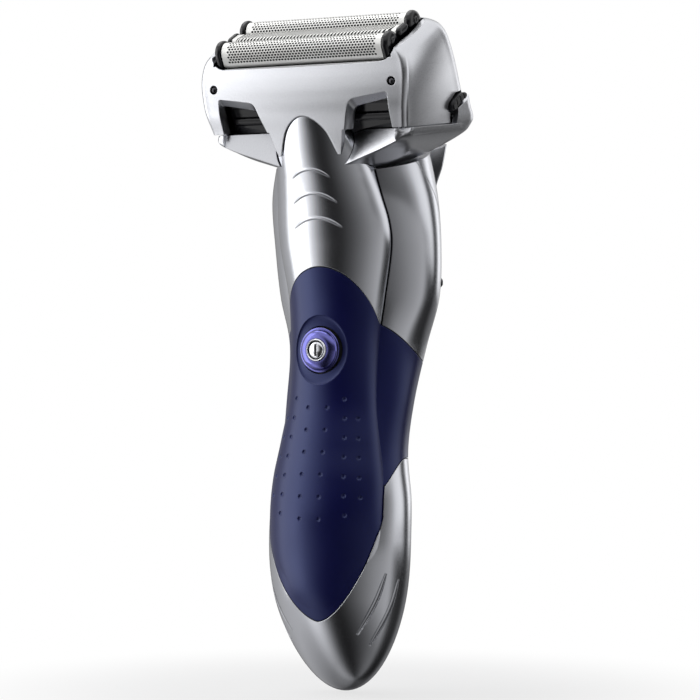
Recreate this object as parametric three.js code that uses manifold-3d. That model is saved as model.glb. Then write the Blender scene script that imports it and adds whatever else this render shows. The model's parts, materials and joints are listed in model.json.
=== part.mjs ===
// A three-blade foil shaver: a waisted handle of moulded shells and soft grips around a sealed
// inner case, and a head that leans forward, with two perforated foils and a slit foil between.
//
// Millimetres, +Z up the handle, foils at the top, front towards -Y, symmetric about X = 0.
// Heights are measured up from the foot of the handle, and the whole group is lowered at the
// end so that its origin is in the middle of the hand's grip.

import * as THREE from 'three';
import { mergeVertices } from 'three/addons/utils/BufferGeometryUtils.js';
import Module from 'manifold-3d';

const wasm = await Module();
wasm.setup();

// ---------------------------------------------------------------- driving dimensions

const gripHeight = 62;        // height of the origin, where the hand closes round the waist
const skin = 1.8;             // wall of the outer shells and grips
const caseWall = 1.2;         // wall of the sealed inner case
const gap = 0.3;              // joint line between two fixed pieces
const running = 0.35;         // clearance between two pieces that move

// Sections of the handle body: half width, depth of its widest line, and reach to each side of it
const bodyStations = [
  { height: 0, halfWidth: 17.3, centre: -2.4, front: 10.0, back: 10.5 },
  { height: 20, halfWidth: 17.9, centre: -4.5, front: 12.6, back: 12.5 },
  { height: 33, halfWidth: 17.7, centre: -4.8, front: 13.1, back: 12.8 },
  { height: 45, halfWidth: 17.4, centre: -4.4, front: 12.1, back: 13.6 },
  { height: 56, halfWidth: 15.6, centre: -3.0, front: 11.2, back: 13.5 },
  { height: 68, halfWidth: 15.9, centre: -0.4, front: 10.6, back: 13.5 },
  { height: 81, halfWidth: 16.9, centre: 3.7, front: 13.5, back: 14.5 },
  { height: 92, halfWidth: 20.1, centre: 3.9, front: 12.0, back: 15.6 },
  { height: 104, halfWidth: 21.1, centre: 3.2, front: 12.8, back: 15.5 },
  { height: 115, halfWidth: 20.7, centre: 1.6, front: 13.9, back: 17.5 },
  { height: 124, halfWidth: 18.6, centre: 0.6, front: 13.6, back: 20.5 },
  { height: 131, halfWidth: 16.8, centre: 0.4, front: 13.2, back: 21.2 },
];
// The handle's roof: its height on the midline, and how steeply it rises to the rear, in degrees
const roof = { height: 123.8, slope: 14 };

// The square-backed housing that grows out of the upper back
const housingStations = [
  { height: 106, halfWidth: 10.6, back: 19.0 },
  { height: 116, halfWidth: 12.5, back: 20.3 },
  { height: 120, halfWidth: 13.5, back: 20.7 },
  { height: 124, halfWidth: 14.8, back: 21.0 },
  { height: 131, halfWidth: 15.9, back: 21.6 },
];
const housingCorner = 3;
const footRounding = 36;      // height over which the foot closes to a round end

// Sections of the raised spine: half width, depth of its edges, of its crest and of its root
const spineStations = [
  { height: 12, halfWidth: 11.0, edge: -5.0, crest: -12.0, root: -5 },
  { height: 24, halfWidth: 13.0, edge: -8.0, crest: -15.9, root: -8 },
  { height: 33, halfWidth: 15.0, edge: -9.6, crest: -17.6, root: -8 },
  { height: 42, halfWidth: 14.9, edge: -10.0, crest: -19.1, root: -8 },
  { height: 50, halfWidth: 14.4, edge: -9.4, crest: -18.3, root: -7 },
  { height: 58, halfWidth: 13.0, edge: -8.6, crest: -16.7, root: -6 },
  { height: 68, halfWidth: 11.5, edge: -7.4, crest: -15.0, root: -5 },
  { height: 81, halfWidth: 11.3, edge: -6.4, crest: -14.7, root: -3 },
  { height: 92, halfWidth: 12.5, edge: -5.3, crest: -13.9, root: -2 },
  { height: 104, halfWidth: 14.5, edge: -6.0, crest: -14.9, root: -3 },
  { height: 110, halfWidth: 14.5, edge: -7.0, crest: -15.8, root: -4 },
  { height: 116, halfWidth: 13.4, edge: -9.0, crest: -17.4, root: -6 },
  { height: 122, halfWidth: 12.1, edge: -11.6, crest: -19.4, root: -9 },
  { height: 129, halfWidth: 11.4, edge: -16.0, crest: -22.0, root: -13.5 },
  { height: 136, halfWidth: 11.2, edge: -20.6, crest: -25.6, root: -18.5 },
];
const noseLength = 16;        // height over which the spine closes to its round tip
const noseTip = spineStations[spineStations.length - 1].height;
const noseStart = noseTip - noseLength;

const seamAngle = 27;         // where the front and rear shells meet, degrees behind the sides
const seamSweep = { depth: 12, from: 104, over: 20, power: 1.6 }; // the seam turns forward near the top
const archHeight = 98.9;      // top of the soft grip on the spine
const archSpring = 85.5;      // height at which the grip's arch meets the edges of the spine
const hemRear = 76.8;         // lower edge of the silver shoulders at the side seam
const capPeak = 54.5;         // top of the bottom cap on the sides
const capEdge = 48.5;         // top of the bottom cap where it meets the spine
const tongueTip = 17.3;       // lower tip of the soft grip
const tongueHeight = 42;      // height at which the tongue of the grip is widest
const tongueFullness = 1.6;   // exponent of the tongue's outline: 1 is a V, 2 an ellipse
const tongueDepth = -7;       // the tongue lies in front of this depth

// Head: a local frame whose Z is square to the plane of the foils
const headTilt = 28;          // degrees that the head leans forward
const headDepth = -15;        // depth of the middle of the foils
const headRise = 27.8;        // height of the middle of the foils above the handle's roof
const headHeight = roof.height + headRise;
const frameWall = 1.3;

const foilPitch = 12.2;       // from the front foil to the rear foil
const foilRadius = 2.6;
const foilHalfLength = 21.2;
const foilLeg = 2.6;          // straight sides of the foils, below the arch
const foilSheet = 0.15;
const foilTravel = 1.0;       // how far each foil can be pushed down
const stroke = 0.7;           // the blades run this far to each side
const slitHalfLength = foilHalfLength + 1.2;
const slitHalfWidth = 2.0;
const slitTop = 1.7;          // height of the slit foil above the centres of the foils
const sheet = 2 * foilSheet;
const capThickness = 1.6;
const capRadius = foilRadius + 0.45;
const capEnd = foilHalfLength + gap + capThickness;

// ---------------------------------------------------------------- helpers

const rad = THREE.MathUtils.degToRad;
const facetTolerance = 0.03;  // facets closer to their neighbours' plane than this are merged

// A smooth function of height through the stations' values of one key
function along(stations, key) {
  const slope = (i) => {
    const a = stations[Math.max(i - 1, 0)];
    const b = stations[Math.min(i + 1, stations.length - 1)];
    return (b[key] - a[key]) / (b.height - a.height);
  };
  return (height) => {
    let i = stations.findIndex((s) => s.height > height) - 1;
    if (i === -2) i = stations.length - 2;
    i = Math.max(i, 0);
    const a = stations[i];
    const b = stations[i + 1];
    const span = b.height - a.height;
    const t = THREE.MathUtils.clamp((height - a.height) / span, 0, 1);
    const t2 = t * t;
    const t3 = t2 * t;
    return (2 * t3 - 3 * t2 + 1) * a[key] + (t3 - 2 * t2 + t) * span * slope(i)
      + (3 * t2 - 2 * t3) * b[key] + (t3 - t2) * span * slope(i + 1);
  };
}

function steps(from, to, count) {
  return Array.from({ length: count + 1 }, (_, i) => from + (to - from) * i / count);
}

// A closed solid through rings of points, each ring with as many points as the others
function loft(rings) {
  const n = rings[0].length;
  const position = rings.flat().flatMap((p) => [p.x, p.y, p.z]);
  const centres = [rings[0], rings[rings.length - 1]].map((ring) => {
    const c = ring.reduce((sum, p) => sum.add(p), new THREE.Vector3()).divideScalar(n);
    position.push(c.x, c.y, c.z);
    return position.length / 3 - 1;
  });
  const index = [];
  const last = (rings.length - 1) * n;
  for (let k = 0; k < n; k += 1) {
    const m = (k + 1) % n;
    index.push(centres[0], m, k);
    index.push(centres[1], last + k, last + m);
    for (let r = 0; r < rings.length - 1; r += 1) {
      const a = r * n + k;
      const b = r * n + m;
      index.push(a, b, a + n, b, b + n, a + n);
    }
  }
  const geometry = new THREE.BufferGeometry();
  geometry.setAttribute('position', new THREE.Float32BufferAttribute(position, 3));
  geometry.setIndex(index);
  return outward(geometry);
}

function outward(geometry) {
  const p = geometry.attributes.position;
  const index = geometry.index.array;
  const v = [0, 1, 2].map(() => new THREE.Vector3());
  let volume = 0;
  for (let i = 0; i < index.length; i += 3) {
    v.forEach((corner, k) => corner.fromBufferAttribute(p, index[i + k]));
    volume += v[0].dot(v[1].cross(v[2]));
  }
  if (volume < 0) geometry.setIndex(Array.from(index).reverse());
  return geometry;
}

// From three.js geometry to a solid that can be cut and joined, and back
function solid(geometry, matrix = new THREE.Matrix4()) {
  let g = geometry.clone().applyMatrix4(matrix);
  g.deleteAttribute('normal');
  g.deleteAttribute('uv');
  g = mergeVertices(g, 1e-4);
  const vertProperties = Float32Array.from(g.attributes.position.array);
  const triVerts = Uint32Array.from(g.index.array);
  return new wasm.Manifold(new wasm.Mesh({ numProp: 3, vertProperties, triVerts }));
}

function geometryOf(shape) {
  const mesh = shape.getMesh();
  const geometry = new THREE.BufferGeometry();
  const xyz = [];
  for (let i = 0; i < mesh.numVert; i += 1) {
    for (let k = 0; k < 3; k += 1) xyz.push(mesh.vertProperties[i * mesh.numProp + k]);
  }
  geometry.setAttribute('position', new THREE.Float32BufferAttribute(xyz, 3));
  geometry.setIndex(Array.from(mesh.triVerts));
  geometry.computeVertexNormals();
  return geometry;
}

const union = (...shapes) => shapes.reduce((a, b) => a.add(b));

// A prism seen from the side: points are [depth, height], and it spans the given widths
function sidePrism(points, fromX, toX) {
  const shape = new THREE.Shape(points.map(([y, z]) => new THREE.Vector2(y, z)));
  const geometry = new THREE.ExtrudeGeometry(shape, { depth: toX - fromX, bevelEnabled: false });
  const basis = new THREE.Matrix4().makeBasis(
    new THREE.Vector3(0, 1, 0), new THREE.Vector3(0, 0, 1), new THREE.Vector3(1, 0, 0));
  return solid(geometry, basis.setPosition(fromX, 0, 0));
}

// A prism seen from the front: points are [x, height], and it spans the given depths
function frontPrism(points, fromY, toY) {
  const shape = new THREE.Shape(points.map(([x, z]) => new THREE.Vector2(x, z)));
  const geometry = new THREE.ExtrudeGeometry(shape, { depth: toY - fromY, bevelEnabled: false });
  const basis = new THREE.Matrix4().makeBasis(
    new THREE.Vector3(1, 0, 0), new THREE.Vector3(0, 0, 1), new THREE.Vector3(0, -1, 0));
  return solid(geometry, basis.setPosition(0, toY, 0));
}

function block(x0, x1, y0, y1, z0, z1) {
  const geometry = new THREE.BoxGeometry(x1 - x0, y1 - y0, z1 - z0);
  return solid(geometry.translate((x0 + x1) / 2, (y0 + y1) / 2, (z0 + z1) / 2));
}

// An upright turned piece: profile points are [radius, height], from the axis back to the axis
function turned(profile, segments = 24) {
  const geometry = new THREE.LatheGeometry(profile.map(([r, z]) => new THREE.Vector2(r, z)), segments);
  return outward(mergeVertices(stripped(geometry.rotateX(Math.PI / 2)), 1e-4));
}

function stripped(geometry) {
  geometry.deleteAttribute('normal');
  geometry.deleteAttribute('uv');
  return geometry;
}

const at = (x, y, z) => new THREE.Matrix4().makeTranslation(x, y, z);

const finish = {
  silver: { color: 0xb9bcc2, roughness: 0.32, metalness: 0.75 },
  rubber: { color: 0x23244f, roughness: 0.62, metalness: 0.0 },
  black: { color: 0x121214, roughness: 0.25, metalness: 0.0 },
  steel: { color: 0xc9ccd0, roughness: 0.25, metalness: 1.0 },
  chrome: { color: 0xdfe3ea, roughness: 0.12, metalness: 1.0 },
  violet: { color: 0x4a4fae, roughness: 0.25, metalness: 0.6 },
  casing: { color: 0x2f3136, roughness: 0.55, metalness: 0.0 },
  board: { color: 0x1d5a35, roughness: 0.5, metalness: 0.0 },
  cell: { color: 0x3d8a4e, roughness: 0.4, metalness: 0.1 },
  brass: { color: 0xc9a24a, roughness: 0.3, metalness: 1.0 },
};

const shaver = new THREE.Group();
const head = new THREE.Group();
head.position.set(0, headDepth, headHeight);
head.rotation.x = rad(headTilt);
head.updateMatrixWorld(true);
const toHead = head.matrixWorld.clone();

// Names a piece, gives it its own material and hangs it in its group
function piece(name, shape, look, parent = shaver) {
  const geometry = shape.isBufferGeometry ? shape : geometryOf(shape.simplify(facetTolerance));
  const mesh = new THREE.Mesh(geometry, new THREE.MeshStandardMaterial({ ...finish[look] }));
  mesh.name = name;
  parent.add(mesh);
  return mesh;
}

const far = 60;               // beyond every surface of the handle and head

// ---------------------------------------------------------------- handle form

const bodySegments = 36;
const bodyRows = 14;

const body = {
  halfWidth: along(bodyStations, 'halfWidth'),
  centre: along(bodyStations, 'centre'),
  front: along(bodyStations, 'front'),
  back: along(bodyStations, 'back'),
};
const bodyTop = bodyStations[bodyStations.length - 1].height;
const housing = {
  halfWidth: along(housingStations, 'halfWidth'),
  back: along(housingStations, 'back'),
};

const spine = {
  halfWidth: along(spineStations, 'halfWidth'),
  edge: along(spineStations, 'edge'),
  crest: along(spineStations, 'crest'),
  root: along(spineStations, 'root'),
};
const spineFoot = spineStations[0].height;

function cornerArc(x, y, radius, from, height) {
  return steps(0, 1, 4).map((t) => {
    const a = rad(from + 90 * t);
    return new THREE.Vector3(x + radius * Math.cos(a), y + radius * Math.sin(a), height);
  });
}

// The foot closes like the end of an ellipse; inset is the distance inside the outer surface
function footTaper(height, inset) {
  const t = Math.min((height - inset) / (footRounding - inset), 1);
  return Math.sqrt(Math.max(1 - (1 - t) ** 2, 0));
}

function bodyRing(height, inset, segments) {
  const taper = footTaper(height, inset);
  const w = Math.max((body.halfWidth(height) - inset) * taper, 0.02);
  const f = Math.max((body.front(height) - inset) * taper, 0.02);
  const b = Math.max((body.back(height) - inset) * taper, 0.02);
  return Array.from({ length: segments }, (_, i) => {
    const angle = i / segments * 2 * Math.PI;
    const reach = Math.sin(angle) < 0 ? f : b;
    return new THREE.Vector3(w * Math.cos(angle), body.centre(height) + reach * Math.sin(angle), height);
  });
}

// Rings crowd together near the round foot
function bodyForm(inset, top, segments, rows) {
  const low = steps(0, 1, 6).slice(0, 6).map((t) => inset + (footRounding - inset) * (1 - Math.cos(t * Math.PI / 2)));
  const heights = [...low, ...steps(footRounding, top, rows)];
  return loft(heights.map((h) => bodyRing(h, inset, segments)));
}

function noseTaper(height, tip) {
  const t = THREE.MathUtils.clamp((height - noseStart) / (tip - noseStart), 0, 1);
  return Math.sqrt(Math.max(1 - t * t, 0));
}

function spineRing(height, inset, segments, tip) {
  const taper = noseTaper(height, tip);
  const w = Math.max((spine.halfWidth(height) - inset) * taper, 0.02);
  const edge = spine.edge(height);
  const rise = Math.max((edge - spine.crest(height) - inset) * taper, 0.02);
  const arc = Array.from({ length: segments + 1 }, (_, i) => {
    const angle = i / segments * Math.PI;
    return new THREE.Vector3(w * Math.cos(angle), edge - rise * Math.sin(angle), height);
  });
  const root = spine.root(height) - Math.min(inset, 0);
  arc.push(new THREE.Vector3(-w, root, height), new THREE.Vector3(w, root, height));
  return arc;
}

function spineForm(inset, bottom, top, segments, rows) {
  const tip = noseTip - inset;
  const low = steps(bottom, Math.min(noseStart, top), rows);
  const high = top > noseStart
    ? steps(0, 1, 6).slice(1).map((t) => noseStart + (tip - noseStart) * Math.sin(t * Math.PI / 2))
    : [];
  return loft([...low, ...high].map((h) => spineRing(h, inset, segments, tip)));
}

const roofSlope = Math.tan(rad(roof.slope));

// Everything above the sloping roof, raised by the given distance
function aboveRoof(shift) {
  const height = (depth) => roof.height + depth * roofSlope + shift;
  return sidePrism([[-far, height(-far)], [far, height(far)], [far, far * 4], [-far, far * 4]], -far, far);
}

// The housing's sections are square at the back and end inside the body at the front
function housingForm(grow) {
  const r = housingCorner + grow;
  return loft(housingStations.map(({ height }) => {
    const w = housing.halfWidth(height) + grow;
    const back = housing.back(height) + grow;
    return [...cornerArc(w - r, back - r, r, 0, height), ...cornerArc(-w + r, back - r, r, 90, height),
      new THREE.Vector3(-w + r, 4, height), new THREE.Vector3(w - r, 4, height)];
  }));
}

const bodyOutside = (grow) => union(solid(bodyForm(-grow, bodyTop, bodySegments, bodyRows)), solid(housingForm(grow)));
const bodySolid = bodyOutside(0).subtract(aboveRoof(0));
const spineSolid = solid(spineForm(0, spineFoot, noseTip, 18, 20));
const spineGrown = solid(spineForm(-gap, spineFoot, noseTip, 18, 20));
const caseTop = roof.height - 3.8;
const innerFoot = 26;         // the hollow under the spine starts at this height
const innerSolid = union(
  solid(bodyForm(skin, caseTop, 16, 6)),
  solid(spineForm(skin, innerFoot, caseTop, 8, 6)));
const handleForm = union(bodySolid, spineSolid);

// ---------------------------------------------------------------- parting lines of the shells

// Everything behind the side seam, moved back by the given distance
function behindSeam(shift) {
  const swept = (h) => seamSweep.depth * (Math.max(h - seamSweep.from, 0) / seamSweep.over) ** seamSweep.power;
  const straight = (h) => body.centre(h) + footTaper(Math.max(h, 1), 0) * body.back(h) * Math.sin(rad(seamAngle));
  const seam = (h) => straight(h) - swept(h) + shift;
  const heights = steps(0, bodyTop, 28);
  const line = heights.map((h) => [seam(h), h]);
  return sidePrism([[line[0][0], -5], ...line, [line[line.length - 1][0], far * 3], [far, far * 3], [far, -5]],
    -far, far);
}

// Above the curved lower edge of the silver shoulders
function aboveHem(shift) {
  const seamDepth = body.centre(hemRear) + body.back(hemRear) * Math.sin(rad(seamAngle));
  const startDepth = spine.edge(archSpring);
  const line = steps(0, 1, 8).map((t) => [
    startDepth + (seamDepth - startDepth) * t,
    archSpring + (hemRear - archSpring) * Math.sin(t * Math.PI / 2) + shift]);
  return sidePrism([[-far, line[0][1]], ...line, [far, hemRear + shift], [far, far * 3], [-far, far * 3]], -far, far);
}

// Below the top edge of the bottom cap, which rises in a round shoulder on each side
function belowCapTop(shift) {
  const startDepth = spine.edge(capEdge);
  const peakDepth = body.centre(capPeak) + 2;
  const line = steps(0, 1, 8).map((t) => [
    startDepth + (peakDepth - startDepth) * t,
    capEdge + (capPeak - capEdge) * Math.sin(t * Math.PI / 2) + shift]);
  return sidePrism([[-far, -5], [-far, line[0][1]], ...line, [far, capPeak + shift], [far, -5]], -far, far);
}

// The soft grip's tongue, seen from the front, up to its widest height
function tongue(grow) {
  const halfWidth = spine.halfWidth(tongueHeight) + grow;
  const drop = tongueHeight - tongueTip + grow;
  const arc = steps(0, 1, 18).map((t) => {
    const angle = -Math.PI / 2 + (t - 0.5) * Math.PI;
    const c = Math.cos(angle);
    const s = Math.sin(angle);
    return [halfWidth * Math.sign(c) * Math.abs(c) ** (2 / tongueFullness),
      tongueHeight - drop * Math.abs(s) ** (2 / tongueFullness)];
  });
  return frontPrism(arc, -far, tongueDepth + grow);
}

// Below the arch that parts the soft grip from the nose panel
function belowArch(shift) {
  const halfWidth = spine.halfWidth(archSpring);
  const arc = steps(0, Math.PI, 16).map((a) => [
    halfWidth * Math.cos(a), archSpring + (archHeight - archSpring) * Math.sin(a) + shift]);
  const sides = [[-far, archSpring + shift], [-far, -5], [far, -5], [far, archSpring + shift]];
  return frontPrism([...arc, ...sides], -far, far);
}

const slabAbove = (height) => block(-far, far, -far, far, height, far * 3);
const slabBelow = (height) => block(-far, far, -far, far, -5, height);

// ---------------------------------------------------------------- openings in the handle

// The power button's axis runs square to the spine, straight back
const buttonHeight = 79.8;
const buttonRadius = 5.2;
const buttonTravel = 0.8;
const buttonDome = 0.8;       // how far the button's middle stands out of the spine's crest
const dish = { halfWidth: 6.6, halfHeight: 7.6, depth: 1.1 };
const stemRadius = 1.6;
const buttonFace = spine.crest(buttonHeight);
const caseFace = buttonFace + skin + gap;
const buttonSeat = caseFace - buttonTravel - gap;
const buttonAxis = new THREE.Matrix4().makeRotationX(Math.PI / 2).setPosition(0, 0, buttonHeight);

// A round solid on the button's axis: profile points are [radius, distance out towards the front]
const onButton = (profile, segments = 24) => solid(turned(profile, segments), buttonAxis);
const buttonBore = (radius, from, to) => onButton([[0, from], [radius, from], [radius, to], [0, to]]);
const dishCut = solid(new THREE.SphereGeometry(1, 16, 8)
  .scale(dish.halfWidth, dish.depth * 3, dish.halfHeight)
  .translate(0, buttonFace - dish.depth * 2, buttonHeight));
const buttonWell = union(buttonBore(buttonRadius + running, -buttonFace - far / 3, -buttonFace + far / 3)
  .intersect(block(-far, far, -far, 0, 0, far * 3)), dishCut);

// The appliance socket sits in the lower back of the foot, facing down and back
const socketLean = 48;        // degrees between the socket's axis and straight down
const socketHeight = 7.5;
const socketHalf = { width: 4.4, height: 2.7 };
const socketLand = { width: 6.2, height: 4.4, depth: 1.4 };
const socketBoss = { wall: 1.2, depth: 3.6 };
const socketDepth = 6.5;
const socketPoint = new THREE.Vector3(0,
  body.centre(socketHeight) + body.back(socketHeight) * footTaper(socketHeight, 0), socketHeight);
const socketAxis = new THREE.Matrix4().makeRotationX(Math.PI + rad(socketLean)).setPosition(socketPoint);

// An upright prism with round ends, centred on the axis
function roundEnded(halfWidth, halfHeight, from, to, segments = 8) {
  const shape = new THREE.Shape();
  const reach = halfWidth - halfHeight;
  shape.absarc(reach, 0, halfHeight, -Math.PI / 2, Math.PI / 2);
  shape.absarc(-reach, 0, halfHeight, Math.PI / 2, 1.5 * Math.PI);
  return new THREE.ExtrudeGeometry(shape, { depth: to - from, bevelEnabled: false, curveSegments: segments })
    .translate(0, 0, from);
}

const socketFloor = -socketLand.depth;
const bossForm = (grow) => solid(roundEnded(socketLand.width + socketBoss.wall + grow,
  socketLand.height + socketBoss.wall + grow, -socketBoss.depth - grow, 6), socketAxis);
const socketWell = union(
  solid(roundEnded(socketLand.width, socketLand.height, socketFloor, 6), socketAxis),
  solid(roundEnded(socketHalf.width + gap, socketHalf.height + gap, -socketDepth - gap, 6, 5), socketAxis));

// The blade drive's post leaves the handle through a round port in its roof
const postRadius = 2.0;
const bootRadius = 5.4;
const postFoot = (caseTop - 3 - headHeight) / Math.cos(rad(headTilt));

// A round solid on the post's axis: profile points are [radius, local height]
const onPost = (profile, segments = 20) => solid(turned(profile, segments), toHead);
const port = onPost([[0, postFoot - 2], [bootRadius + gap, postFoot - 2], [bootRadius + gap, -12], [0, -12]]);

// ---------------------------------------------------------------- shells and grips

const screwHeight = 95.7;
const screwRadius = 1.1;
const screwDepth = 1.4;

// Screws sit in the side seams, square to the surface
function screwFrame(side) {
  const angle = rad(seamAngle);
  const w = body.halfWidth(screwHeight);
  const b = body.back(screwHeight);
  const out = new THREE.Vector3(side * Math.cos(angle) / w, Math.sin(angle) / b, 0).normalize();
  const turn = new THREE.Quaternion().setFromUnitVectors(new THREE.Vector3(0, 0, 1), out);
  const place = new THREE.Vector3(side * w * Math.cos(angle), body.centre(screwHeight) + b * Math.sin(angle), screwHeight);
  return new THREE.Matrix4().makeRotationFromQuaternion(turn).setPosition(place);
}
const screwHole = (side) => solid(turned([[0, -screwDepth - gap], [screwRadius + gap, -screwDepth - gap],
  [screwRadius + gap, 3], [0, 3]], 12), screwFrame(side));

const frontOfSeam = (shape) => shape.subtract(behindSeam(0));
const shellForm = handleForm.subtract(innerSolid);
const bodyShell = bodySolid.subtract(innerSolid).subtract(port).subtract(screwHole(1)).subtract(screwHole(-1));
const spineShell = spineSolid.subtract(innerSolid);

// Trimmer: a slide in a shallow flat-bottomed channel down the back of the rear shell
const trimmerFoot = 98;
const trimmerHalf = 8.0;
const trimmerPlate = 1.5;
const channelDepth = 1.0;
const channelLength = bodyTop - trimmerFoot + 20;
const hood = { half: 11.2, foot: 23.2, top: 30.6, inner: -2.2, outer: 0.9, chamfer: 0.6 };
const trimmerTopHeight = roof.height;
const backDepth = (h) => body.centre(h) + body.back(h);
const trimmerLean = Math.atan2(backDepth(trimmerTopHeight) - backDepth(trimmerFoot), trimmerTopHeight - trimmerFoot);
const trimmerFrame = new THREE.Matrix4().makeRotationX(-trimmerLean).setPosition(0, backDepth(trimmerFoot), trimmerFoot);
const plateFoot = -1.5;       // the plate starts this far below the trimmer's origin
const channel = union(
  block(-trimmerHalf - running, trimmerHalf + running, -channelDepth, far, plateFoot - 1, channelLength),
  block(-hood.half - running, hood.half + running, hood.inner - running, far, hood.foot - running, channelLength))
  .transform(trimmerFrame.elements);

const frontShell = frontOfSeam(bodyShell).intersect(aboveHem(gap)).subtract(spineGrown);
piece('front_shell', frontShell, 'silver');

const nosePanel = spineShell.subtract(belowArch(gap)).intersect(slabAbove(archSpring + gap));
piece('nose_panel', nosePanel, 'silver');

const tongueSolid = shellForm.intersect(tongue(0));
const gripSpine = spineShell.intersect(belowArch(0)).intersect(slabAbove(tongueHeight));
const gripSides = frontOfSeam(bodyShell).subtract(aboveHem(0)).subtract(belowCapTop(gap));
piece('front_grip', union(tongueSolid, gripSpine, gripSides).subtract(buttonWell), 'rubber');

const rearBand = bodyShell.intersect(behindSeam(gap));
piece('rear_shell', rearBand.intersect(slabAbove(hemRear + gap)).subtract(channel), 'silver');
piece('rear_grip', rearBand.subtract(slabAbove(hemRear)).subtract(belowCapTop(gap)), 'rubber');

const capForm = shellForm.intersect(belowCapTop(0)).subtract(tongue(gap));
const capAboveTongue = spineGrown.intersect(slabAbove(tongueHeight));
piece('bottom_cap', capForm.subtract(capAboveTongue).add(bossForm(0).intersect(bodySolid)).subtract(socketWell), 'silver');

// ---------------------------------------------------------------- sealed inner case

const caseInset = skin + gap;
const caseInnerInset = caseInset + caseWall;
const caseOuter = union(
  solid(bodyForm(caseInset, caseTop - gap, 16, 6)),
  solid(spineForm(caseInset, innerFoot + gap, caseTop - gap, 8, 6)));
const caseInner = union(
  solid(bodyForm(caseInnerInset, caseTop - gap - caseWall, 12, 5)),
  solid(spineForm(caseInnerInset, innerFoot + 4, caseTop - gap - caseWall, 4, 5)));
const chassisRoom = union(
  solid(bodyForm(caseInnerInset + gap, caseTop - 2 * gap - caseWall, 12, 5)),
  solid(spineForm(caseInnerInset + gap, innerFoot + 4, caseTop - 2 * gap - caseWall, 4, 5)));
piece('inner_case', caseOuter.subtract(caseInner).subtract(port).subtract(bossForm(gap)).subtract(socketWell)
  .subtract(buttonBore(stemRadius + running, -caseFace - 5, -caseFace + 5)), 'casing');

// ---------------------------------------------------------------- power button and circuit

const stemEnd = -caseFace - caseWall - 0.4;
piece('power_button', onButton([
  [0, stemEnd], [stemRadius, stemEnd], [stemRadius, -buttonSeat],
  [buttonRadius, -buttonSeat], [buttonRadius, -buttonFace + buttonDome - 1.5],
  [buttonRadius * 0.93, -buttonFace + buttonDome - 0.9], [buttonRadius * 0.75, -buttonFace + buttonDome - 0.35],
  [buttonRadius * 0.5, -buttonFace + buttonDome], [0, -buttonFace + buttonDome]]), 'violet');

const badgeRadius = 2.45;
const badgeBase = -buttonFace + buttonDome + gap;
const badgeRing = onButton([[0, badgeBase], [badgeRadius, badgeBase], [badgeRadius, badgeBase + 0.45],
  [badgeRadius * 0.72, badgeBase + 0.45], [badgeRadius * 0.66, badgeBase + 0.2], [0, badgeBase + 0.2]]);
const badgeBar = block(-0.35, 0.35, -badgeBase - 0.45, -badgeBase - 0.1, buttonHeight - 1.2, buttonHeight + 1.2);
piece('button_badge', union(badgeRing, badgeBar), 'chrome');

const switchTop = stemEnd - buttonTravel - gap;
const switchDepth = 2.3;
const boardFront = -switchTop + 0.6 + switchDepth + gap;
const board = { halfWidth: 7.5, thickness: 1.2, low: buttonHeight - 5.8, high: buttonHeight + 3.2 };
piece('circuit_board', block(-board.halfWidth, board.halfWidth, boardFront, boardFront + board.thickness,
  board.low, board.high), 'board');
piece('push_switch', union(
  block(-3, 3, boardFront - gap - switchDepth, boardFront - gap, buttonHeight - 3, buttonHeight + 3),
  onButton([[0, switchTop - 1], [1.3, switchTop - 1], [1.3, switchTop], [0, switchTop]], 12)), 'black');

// ---------------------------------------------------------------- cell, motor and blade drive

const cell = { radius: 7.0, low: 22.5, high: board.low - 3, depthLow: -4.4, depthHigh: -1.6 };
const cellLean = Math.atan2(cell.depthHigh - cell.depthLow, cell.high - cell.low);
const cellAxis = new THREE.Matrix4().makeRotationX(-cellLean).setPosition(0, cell.depthLow, cell.low);
const cellLength = (cell.high - cell.low) / Math.cos(cellLean);
piece('rechargeable_cell', solid(turned([
  [0, 0], [cell.radius - 0.8, 0], [cell.radius, 0.8], [cell.radius, cellLength - 2.2],
  [cell.radius - 0.8, cellLength - 1.4], [2.7, cellLength - 1.4], [2.7, cellLength], [0, cellLength]], 16), cellAxis), 'cell');
const strap = (z0, z1) => solid(new THREE.BoxGeometry(4, 2 * cell.radius + 1, z1 - z0).translate(0, 0, (z0 + z1) / 2), cellAxis);
piece('cell_strap_low', strap(-gap - 0.5, -gap), 'brass');
piece('cell_strap_top', strap(cellLength + gap, cellLength + gap + 0.5), 'brass');

const motorLength = 22;
const motorRadius = 9.5;
const motor = {
  radius: motorRadius,
  low: caseTop - 13 - motorLength,
  high: caseTop - 13,
  depth: boardFront + board.thickness + gap + motorRadius,
};
const motorAxis = at(0, motor.depth, 0);
piece('motor', solid(turned([
  [0, motor.low - 1.5], [3, motor.low - 1.5], [3, motor.low], [motor.radius - 0.6, motor.low],
  [motor.radius, motor.low + 0.6], [motor.radius, motor.high - 0.6], [motor.radius - 0.6, motor.high],
  [3, motor.high], [3, motor.high + 1.2], [1 + running, motor.high + 1.2],
  [1 + running, motor.high - 6], [0, motor.high - 6]], 16), motorAxis), 'steel');

const eccentricity = stroke;
const eccentric = { low: motor.high + 1.2 + running, thickness: 2, radius: 3.4, pinRadius: 0.8, pinTop: motor.high + 8 };
const shaft = solid(turned([[0, motor.high - 5.5], [1, motor.high - 5.5], [1, eccentric.low + 1], [0, eccentric.low + 1]], 12), motorAxis);
const eccentricDisc = solid(turned([[0, eccentric.low], [eccentric.radius, eccentric.low],
  [eccentric.radius, eccentric.low + eccentric.thickness], [0, eccentric.low + eccentric.thickness]], 20), motorAxis);
const crankPin = solid(turned([[0, eccentric.low + 1], [eccentric.pinRadius, eccentric.low + 1],
  [eccentric.pinRadius, eccentric.pinTop], [0, eccentric.pinTop]], 12), at(0, motor.depth + eccentricity, 0));
piece('motor_shaft', union(shaft, eccentricDisc, crankPin), 'brass');

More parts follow.
